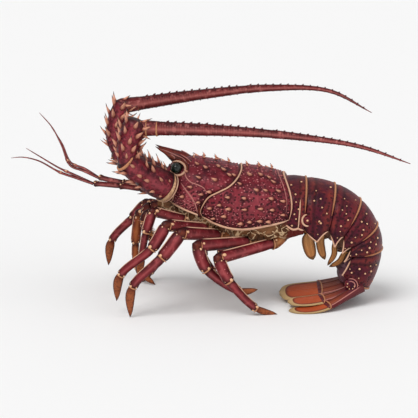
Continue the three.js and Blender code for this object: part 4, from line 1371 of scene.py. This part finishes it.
for side in SIDES:
    build_antenna_joint(side, "base", BASE_PROFILE, BASE_RINGS, 52, BASE_BANDS)
    build_antenna_joint(side, "middle", MIDDLE_PROFILE, MIDDLE_RINGS, 40, MIDDLE_BANDS)
    build_antenna_joint(side, "end", ANTENNAE[side]["end_profile"], END_RINGS, 80)
    for part, first in WHIP_PARTS:
        build_whip(side, part, first)
    build_socket(side)

head.finish("shell", "carapace_head")
thorax.finish("shell", "carapace_thorax")

# Antennules: a stalk in three lengths, and two small whips

ANTENNULES = {
    LEFT: {
        "stalk": [(-50, -8, 130), (-70, -10, 128), (-90, -13, 131), (-110, -16, 133.5), (-127, -18, 135.5)],
        "whips": [
            [(-126, -18, 135), (-145, -20, 142), (-162, -22, 148.5), (-185, -26, 162), (-202, -29, 166.5),
             (-214, -31, 166)],
            [(-126, -18, 135), (-146, -11, 143), (-163, -7, 150), (-186, -3, 163), (-200, 0, 171)],
        ],
    },
    RIGHT: {
        "stalk": [(-50, 8, 130), (-70, 10, 127), (-90, 12, 129.5), (-110, 14, 133), (-123, 16, 136)],
        "whips": [
            [(-122, 16, 135), (-139, 18, 142.5), (-153, 20, 148), (-163, 22, 171), (-173, 24, 190),
             (-187, 26, 206)],
            [(-122, 16, 135), (-138, 27, 143), (-153, 31, 149), (-163, 35, 170), (-175, 38, 188)],
        ],
    },
}
STALK_PARTS = [(0.0, 0.33, 8.0), (0.32, 0.62, 7.4), (0.61, 0.98, 6.4)]
STALK_SHAPE = [(0, 0.8), (0.1, 0.9), (0.8, 0.92), (0.95, 1.12), (1, 0.8)]
SMALL_WHIP = [(0, 3.4), (0.36, 2.8), (0.4, 3.4), (0.44, 2.3), (0.7, 1.6), (0.9, 1.1), (1, 0.5)]
SMALL_WAVES = 45


def small_annuli(place, turn):
    return 1 + 0.05 * math.sin(place * SMALL_WAVES * 2 * math.pi)


for side in SIDES:
    small = Piece(f"antennule_{SIDE_NAMES[side]}_shell")
    stalk = Line(ANTENNULES[side]["stalk"])
    for first, last, width in STALK_PARTS:
        small.limb(stalk, times(STALK_SHAPE, width), WHIP, (first, last), 18, 16)
        hinge_knobs(small, stalk, last - 0.015, width * 1.05, 2.2)
    for points in ANTENNULES[side]["whips"]:
        small.limb(Line(points), SMALL_WHIP, WHIP, sides=12, rings=90, shape=small_annuli)
        hinge_knobs(small, Line(points), 0.4, 3.8, 1.6)
    small.finish("feeler", f"antennule_{SIDE_NAMES[side]}")

# Mouth limbs, which curve down in front of the mouth and carry bristles

MOUTH_LINE = [(-48, 12, 104), (-60, 17, 104), (-70, 20, 99), (-70, 18, 84), (-63, 11, 69)]
MOUTH_PARTS = [(0, 0.3, 9, 0.5), (0.29, 0.52, 9.2, 0.5), (0.51, 0.78, 7.6, 0.5), (0.77, 1.0, 5.4, 0.1)]
MOUTH_SHAPE = [(0, 0.7), (0.12, 1), (0.8, 0.95), (0.93, 0.95)]
MOUTH_WIDTHS = [(0, 9), (0.5, 8.6), (1, 4)]
BRISTLE_COUNT = 70

for side in SIDES:
    mouth = Piece(f"maxilliped_{SIDE_NAMES[side]}_shell")
    line = Line(mirrored(MOUTH_LINE, side))
    for first, last, width, end in MOUTH_PARTS:
        mouth.limb(line, times(MOUTH_SHAPE + [(1, end)], width), JOINT, (first, last), 18, 14)
        hinge_knobs(mouth, line, last - 0.03, width * 0.9, 2.4)
        crescent(mouth, line, last - 0.01, width * 0.95, 1.3, BAND, ACROSS * side)
    limb_dots(mouth, line, MOUTH_WIDTHS, 40, 0.05, 0.95, DOT, (1.0, 1.9))
    for k in range(BRISTLE_COUNT):
        place = 0.35 + 0.6 * k / BRISTLE_COUNT
        inner = 0 if station(line, place)[2].x > 0 else math.pi
        centre, along, normal = spoke(line, place, draw.uniform(-0.9, 0.9) + inner)
        mouth.thorn(centre + normal * 3, normal, along, varied(5.5), 0.7, BRISTLE, lean=0.8, sides=5)
    mouth.finish("mouth_limb", f"maxilliped_{SIDE_NAMES[side]}")

# Tail: six rings that curl down and under, between seven frames. A frame is (x, height of the
# back, lean in degrees, half width, depth of the floor).

FRAMES = [
    (80, 141.5, 2, 42, 43), (107.5, 138.5, 5, 41.5, 50), (139.5, 131, 12, 40.5, 45),
    (167.5, 113.5, 32, 39, 39), (186, 86.5, 58, 37, 36), (191, 59, 85, 35, 35), (176, 14, 124, 31, 34),
]
TAIL_LINE = Line([(x, 0, z) for x, z, *_ in FRAMES] + [(146, 0, -14)])
LAST_RING = 5
RING_ARCH = 0.62
RING_SHARE = 0.68
RING_SKIRT = [(0, 1), (0.5, 0.985), (1, 0.93)]

# Side plates of the rings: how far they hang, where their tips are, and how far those sweep back
PLATE_REACH = [4, 11.5, 14.5, 13, 10, 2]
PLATE_TIP = [0.5, 0.45, 0.5, 0.6, 0.66, 0.7]
PLATE_SWEEP = [0, 3, 3, 3.5, 6, 6]

# Where the two folds of the first ring meet, how small the front edge of a ring is and where
# that step ends, and how small the first ring starts
FIRST_FOLD = 0.72
STEP_SCALE = 0.955
STEP_END = 0.16
FIRST_SCALE = 0.92


def tail_frame(place):
    """Centre of the back, upward direction, half width and floor depth of the tail."""
    columns = ([(i, row[key]) for i, row in enumerate(FRAMES)] for key in (2, 3, 4))
    lean, half, floor = (value_at(column, place) for column in columns)
    lean = math.radians(lean)
    return TAIL_LINE.knot(place), Vector((math.sin(lean), 0, math.cos(lean))), half, floor


def plate_near(index, t):
    """How far a side plate reaches down at t along its ring, 1 at its tip. The first ring has
    two round folds in place of a plate."""
    if index == 0:
        fold = t / FIRST_FOLD if t < FIRST_FOLD else (t - FIRST_FOLD) / (1 - FIRST_FOLD)
        return math.sin(fold * math.pi) ** 0.7 * (1 if t < FIRST_FOLD else 0.1)
    tip = PLATE_TIP[index]
    return (t / tip) ** 0.9 if t <= tip else ((1 - t) / (1 - tip)) ** 1.5


def ring_point(index, t, share, scale=None):
    """Point of a tail ring at t along it and a share round it, -1 to 1 between the tips of
    its side plates. The scale is the ring's own unless one is given."""
    scale = ring_scale(index, t) if scale is None else scale
    centre, up, half, floor = tail_frame(index + t)
    near = plate_near(index, t)
    hang = floor + 1 + PLATE_REACH[index] * near
    arch = floor * RING_ARCH
    side, share = math.copysign(1, share), abs(share)
    if share <= RING_SHARE:
        turn = share / RING_SHARE * math.pi / 2
        y, height = half * math.sin(turn), -arch * (1 - math.cos(turn))
    else:
        down = (share - RING_SHARE) / (1 - RING_SHARE)
        y, height = half * value_at(RING_SKIRT, down), between(-arch, -hang, down)
        centre = centre + Vector((up.z, 0, -up.x)) * PLATE_SWEEP[index] * near * down ** 2
    point = ACROSS * side * y + up * (height + floor * 0.5)
    return point * scale - up * floor * 0.5 + centre


def ring_scale(index, t):
    """The front edge slips under the ring before, and the ring bulges between its frames."""
    if index == 0:
        return between(FIRST_SCALE, 1.0, min(1, t / 0.5))
    if t < STEP_END:
        return between(STEP_SCALE, 1.0, (t / STEP_END) ** 0.7)
    return 1 + 0.014 * math.sin(math.pi * t)


# Bosses at the sides of the first and the last ring. The arc on the first has its reaches
# along and up, those on the last their radius and width.
FIRST_BOSS = (106.5, 42, 99.5)
FIRST_ARC = (5.6, 6.4)
FAN_BOSS = (155, 31, 24.5)
FAN_ARCS = ((4.6, 1.2), (7.4, 1.1))

# Pale dots of a ring, as (share along, share round), and how far they may be moved
TAIL_DOTS = [(0.78, 0.18), (0.35, 0.3), (0.5, 0.42), (0.52, 0.56), (0.72, 0.66), (0.5, 0.74), (0.62, 0.82),
             (0.5, 0.92), (0.3, 0.5)]
DOT_SHIFT = (0.06, 0.03)

# Lines of painted shade and brown patches of a ring along it, and painted shade at its border, as (middle,
# reach)
GROOVE_REACH = 0.05
REAR_PAINTED_SHADE_LINE = (0.93, 0.03)
BORDER_PAINTED_SHADE_LINE = (0, 0.045)
PAINTED_LINE_SHADE = 0.6
REAR_BROWN = (0.8, 0.13)
FRONT_BROWN = (0.16, 0.07)


def add_first_boss(ring, side):
    """The hinge knob and the folds at the side of the first ring."""
    seam = [ring_point(0, FIRST_FOLD + 0.02, side * share, 1.01) for share in steps(0.5, 1, 13)]
    boss = Vector(mirrored([FIRST_BOSS], side)[0])
    outward = ACROSS * side
    right, up = BEHIND * FIRST_ARC[0], UP * FIRST_ARC[1]
    ring.bead(seam, 1.5, RIM, rings=30)
    ring.dome(boss, outward, 9.5, TAIL, 0.45)
    ring.dome(boss + outward * 2, outward, 2.6, DOT, 0.8)
    ring.bead(arc(boss + outward * 0.5, 95, 190, 13, right, up), 2.0, RIM, rings=30)


def add_fan_boss(ring, side):
    """The round joint of the fan on the last ring, with arcs over it and knobs round it."""
    boss = Vector(mirrored([FAN_BOSS], side)[0])
    outward = ACROSS * side
    ring.dome(boss, outward, 15, TAIL, 0.45)
    ring.dome(boss + Vector((-2, side * 2, -1)), outward, 5, JOINT, 0.6)
    for radius, width in FAN_ARCS:
        centre = boss + outward * (4.2 - radius * 0.4)
        ring.bead(arc(centre, -50, 160, 13, BEHIND * radius, UP * radius), width, SEAM, rings=30)
    for knob in arc(boss + outward * 2.4, 150, 200, 5, BEHIND * 4, UP * 4):
        ring.dome(knob, outward, 1.9, DOT)


def build_tail_ring(index):
    ring = Piece(f"tail_ring_{index + 1}")
    dots = [(t + draw.uniform(-DOT_SHIFT[0], DOT_SHIFT[0]), share + draw.uniform(-DOT_SHIFT[1], DOT_SHIFT[1]))
            for t, share in TAIL_DOTS]
    dot_tree = roots_tree([ring_point(index, t, side * share, 1.0) for t, share in dots for side in SIDES])
    groove = 0.3 if index else FIRST_FOLD

    def shape(u, v):
        share = v * 2 - 1
        point = ring_point(index, u, share)
        band = bell(u, groove, GROOVE_REACH)
        # shade painted in the groove, by the rear edge and at the border; below, shadow painted round the
        # dots and shade painted on the front edge, where it slips under the ring before
        lines = PAINTED_LINE_SHADE * (band + bell(u, *REAR_PAINTED_SHADE_LINE) + bell(1 - abs(share), *BORDER_PAINTED_SHADE_LINE))
        shade = 0.5 * bell(dot_tree.find(point)[2], 0, 3) + 0.7 * max(0, (0.1 - u) / 0.1) + lines
        brown = bell(u, *REAR_BROWN) + 0.6 * bell(u, *FRONT_BROWN)
        patches = brown * (0.5 + 0.6 * noise.noise(point * 0.08)) + 0.5 * max(0, noise.noise(point * 0.07))
        marks = {
            "painted_shade_and_dark_joints": min(0.8, shade),
            "pitted": clamped((abs(share) - 0.2) / 0.2),
            "painted_highlight_and_tint": min(0.8, patches),
        }
        return point - (point - tail_frame(index + u)[0]).normalized() * 0.7 * band, marks

    middle, up, _, floor = tail_frame(index + 0.5)
    ring.plate(shape, 36, 120, TAIL, 1.4, middle - up * floor * 0.5)
    for t, share in dots:
        centre, up, _, floor = tail_frame(index + t)
        for side in SIDES:
            point = ring_point(index, t, side * share)
            normal = (point - (centre - up * floor * 0.5)).normalized()
            ring.dome(point, normal, draw.uniform(1.4, 2.7), DOT, 0.6, 1.0, ACROSS)
    for side in SIDES:
        rim = [ring_point(index, t, side) for t in steps(0.12, 0.98, 25)]
        ring.bead(rim, 1.5 if index else 2.2, RIM, rings=60)
        if index == 0:
            add_first_boss(ring, side)
    if index == LAST_RING:
        for side in SIDES:
            add_fan_boss(ring, side)
    rear = [ring_point(index, 0.965, share * RING_SHARE, 1.004) for share in EDGE_SHARES]
    ring.bead(rear, 1.9, BAND, rings=100, sides=8)
    ring.finish("shell", f"abdomen_{index + 1}")


for index in range(LAST_RING + 1):
    build_tail_ring(index)

# Soft underside of the tail, which bulges out between the plates and more towards the fan

SKIN_BULGE = [(0, 0.5), (0.8, 0.56), (1.3, 0.68), (1.6, 0.84), (2.6, 0.9), (3.2, 1.02), (3.8, 1.0),
              (4.3, 0.9), (5, 0.74), (5.8, 0.8), (6, 0.78)]
SKIN_RISE = 0.47
FAN_ROOT = [(170, 0, 50), (160, 0, 39), (153, 0, 30), (150, 0, 22)]
FAN_ROOT_PROFILE = [(0, 16, 40), (0.35, 22, 48), (0.75, 25, 46), (1, 14, 36)]


def tail_skin_shape(first, last):
    def shape(u, v):
        place = between(first, last, u)
        centre, up, half, floor = tail_frame(place)
        turn = v * 2 * math.pi
        ridge = 1 + 0.02 * math.cos(place * 4 * math.pi)
        depth = SKIN_RISE if math.cos(turn) > 0 else value_at(SKIN_BULGE, place)
        y = math.sin(turn) * half * 0.88 * ridge
        return centre + up * floor * (math.cos(turn) * depth * ridge - 0.5) + ACROSS * y, {}
    return shape


tail_skin = Piece("tail_skin")
tail_skin.plate(tail_skin_shape(0.05, 4.95), 110, 48, FOLD, close=True)
tail_skin.plate(tail_skin_shape(4.9, 5.97), 30, 48, BELLY, close=True)
tail_skin.limb(Line(FAN_ROOT), FAN_ROOT_PROFILE, BELLY, sides=32, rings=20)
tail_skin.finish("underside")

# Swimmerets as (ring, y, points in the side view, width), shorter on the right side

SWIMMERETS = [
    (2, 23, [(112, 92), (108, 78), (110, 64), (114, 51)], 14),
    (3, 22, [(131, 90), (122, 74), (123, 62), (127, 51)], 9.5),
    (4, 20, [(150, 84), (138, 68), (137, 56), (130, 44)], 6.5),
    (5, 18, [(160, 66), (149, 58), (143, 48), (132, 42)], 6.5),
]
FOLDED_REACH = {LEFT: 1, RIGHT: 0.62}


def leaf_profile(width):
    return [(0, 4, 3), (0.25, 5, 3), (0.4, width * 0.9, 2.4), (0.65, width, 1.8), (0.85, width * 0.8, 1.3),
            (0.95, width * 0.45, 1), (1, 0.6, 0.5)]


for segment, y, points, width in SWIMMERETS:
    root_x, root_z = points[0]
    for side in SIDES:
        reach = FOLDED_REACH[side]
        line = Line([(between(root_x, x, reach), side * y, between(root_z, z, reach)) for x, z in points])
        label = f"swimmeret_{SIDE_NAMES[side]}_{segment}"
        leaf = Piece(label + "_leaf")
        leaf.limb(line, leaf_profile(width), LEAF, sides=24, rings=30)
        leaf.finish("swimmeret", label)

# Tail fan: each blade has a hard ridged base and a soft lobe

TELSON_LINE = [(170, 0, 27), (150, 0, 18), (121, 0, 12), (78, 0, 7.5)]
INNER_LINE = [(163, 21, 20), (141, 26, 12), (112, 31, 7), (86, 33, 6)]
OUTER_LINE = [(168, 26, 21), (147, 35, 12), (117, 47.5, 2.5), (87, 53, 1)]
TELSON_PROFILE = [(0, 30, 13), (0.2, 36, 9.4), (0.45, 42, 5.6), (0.7, 44, 4), (0.88, 41, 3.2),
                  (0.96, 30, 2.4), (1, 8, 1.2)]
INNER_PROFILE = [(0, 10, 10), (0.2, 17, 7.6), (0.5, 28, 4.2), (0.75, 31, 3.2), (0.91, 26, 2.6), (0.97, 17, 2),
                 (1, 4, 1.2)]
OUTER_PROFILE = [(0, 10, 10), (0.2, 15, 7.6), (0.5, 26, 4.0), (0.75, 29, 3.0), (0.91, 23, 2.4), (0.97, 14, 2),
                 (1, 4, 1.4)]
FAN_BASE_END = 0.56
FAN_BASE_RISE = 1.4

# Fit of the hard base round its lobe, as (place, share of the width, share of the depth)
FAN_BASE_FIT = [(place, 1.03, 1) for place in (0, 0.15, 0.3, 0.45, 0.6, 0.75, 0.9)]
FAN_BASE_FIT += [(0.97, 0.97, 1), (1, 0.9, 0.5)]


def fan_base_profile(widths, depths):
    profile = []
    for place, wide, deep in FAN_BASE_FIT:
        there = place * FAN_BASE_END
        depth = value_at(depths, there) + FAN_BASE_RISE
        profile.append((place, value_at(widths, there) * wide, depth * deep))
    return profile


def fan_blade(name, points, profile, roll, ridges, node):
    """A blade with raised lines on its base at these shares of the half width."""
    blade = Piece(name)
    line = Line(points)
    roll = math.radians(roll)
    widths, depths = widths_of(profile), depths_of(profile)

    def on_top(place, right, up):
        """Point of the upper side, right of the middle line and up from it."""
        centre, _, across, front = station(line, place, UP, roll)
        return centre + across * right + front * math.copysign(up, front.z)

    blade.limb(line, profile, FAN_LOBE, sides=48, rings=40, facing=UP, roll=roll)
    blade.limb(line, fan_base_profile(widths, depths), FAN_BASE, (0, FAN_BASE_END), 48, 30, UP, roll)
    for share in ridges:
        ridge = []
        for place in steps(0.04, FAN_BASE_END * 0.97, 11):
            height = (value_at(depths, place) + FAN_BASE_RISE) / 2 * math.sqrt(1 - share ** 2)
            ridge.append(on_top(place, share * value_at(widths, place) / 2, height))
        blade.bead(ridge, 1.3, SEAM if abs(share) > 0.5 else JOINT)
    half, height = value_at(widths, FAN_BASE_END) / 2, value_at(depths, FAN_BASE_END) / 2 + 0.9
    border = []
    for turn in steps(0, math.pi, 13):
        place = FAN_BASE_END - 0.015 - 0.05 * math.sin(turn)
        border.append(on_top(place, math.cos(turn) * half, math.sin(turn) * height))
    blade.bead(border, 1.5, BAND, rings=40)
    blade.finish("tail_fan", node)


fan_blade("telson_blade", TELSON_LINE, TELSON_PROFILE, -12, (-0.85, -0.3, 0.3, 0.85), "telson")
for side in SIDES:
    label = f"fan_blade_{SIDE_NAMES[side]}"
    inner, outer = mirrored(INNER_LINE, side), mirrored(OUTER_LINE, side)
    fan_blade(label + "_inner_blade", inner, INNER_PROFILE, side * 6, (-0.75, 0.1, 0.75), label + "_inner")
    fan_blade(label + "_outer_blade", outer, OUTER_PROFILE, side * 3, (-0.75, 0.0, 0.75), label + "_outer")

# Floor and light

FLOOR_SIZE = 6
FLOOR_COLOUR = (0.86, 0.86, 0.86, 1)
FLOOR_ROUGHNESS = 0.9
SKY_COLOUR = (1, 1, 1, 1)
SKY_LIGHT, SKY_SEEN = 0.55, 1.0

floor_mesh = bpy.data.meshes.new("floor")
floor_bm = bmesh.new()
bmesh.ops.create_grid(floor_bm, x_segments=1, y_segments=1, size=FLOOR_SIZE)
floor_bm.to_mesh(floor_mesh)
floor_bm.free()
floor = bpy.data.objects.new("floor", floor_mesh)
scene.collection.objects.link(floor)
floor_material, _, floor_shader = start_material("floor")
floor_shader.inputs["Base Color"].default_value = FLOOR_COLOUR
floor_shader.inputs["Roughness"].default_value = FLOOR_ROUGHNESS
floor_mesh.materials.append(floor_material)

world = bpy.data.worlds.new("studio")
world.use_nodes = True
sky_tree = world.node_tree
sky = sky_tree.nodes["Background"]
sky.inputs["Color"].default_value = SKY_COLOUR
seen = add_node(sky_tree, "ShaderNodeLightPath").outputs["Is Camera Ray"]
sky_tree.links.new(ranged(sky_tree, seen, 0.0, 1.0, SKY_LIGHT, SKY_SEEN), sky.inputs["Strength"])
scene.world = world


def soft_light(name, place, strength, spread):
    """A wide lamp so far away that it lights the floor evenly."""
    data = bpy.data.lights.new(name, "SUN")
    data.energy = strength
    data.angle = math.radians(spread)
    light = bpy.data.objects.new(name, data)
    light.location = place
    light.rotation_euler = (CAMERA_TARGET - Vector(place)).to_track_quat("-Z", "Y").to_euler()
    scene.collection.objects.link(light)


soft_light("key", (-0.7, -1.0, 1.7), 1.9, 35)
soft_light("fill", (1.2, -0.9, 0.9), 0.5, 60)
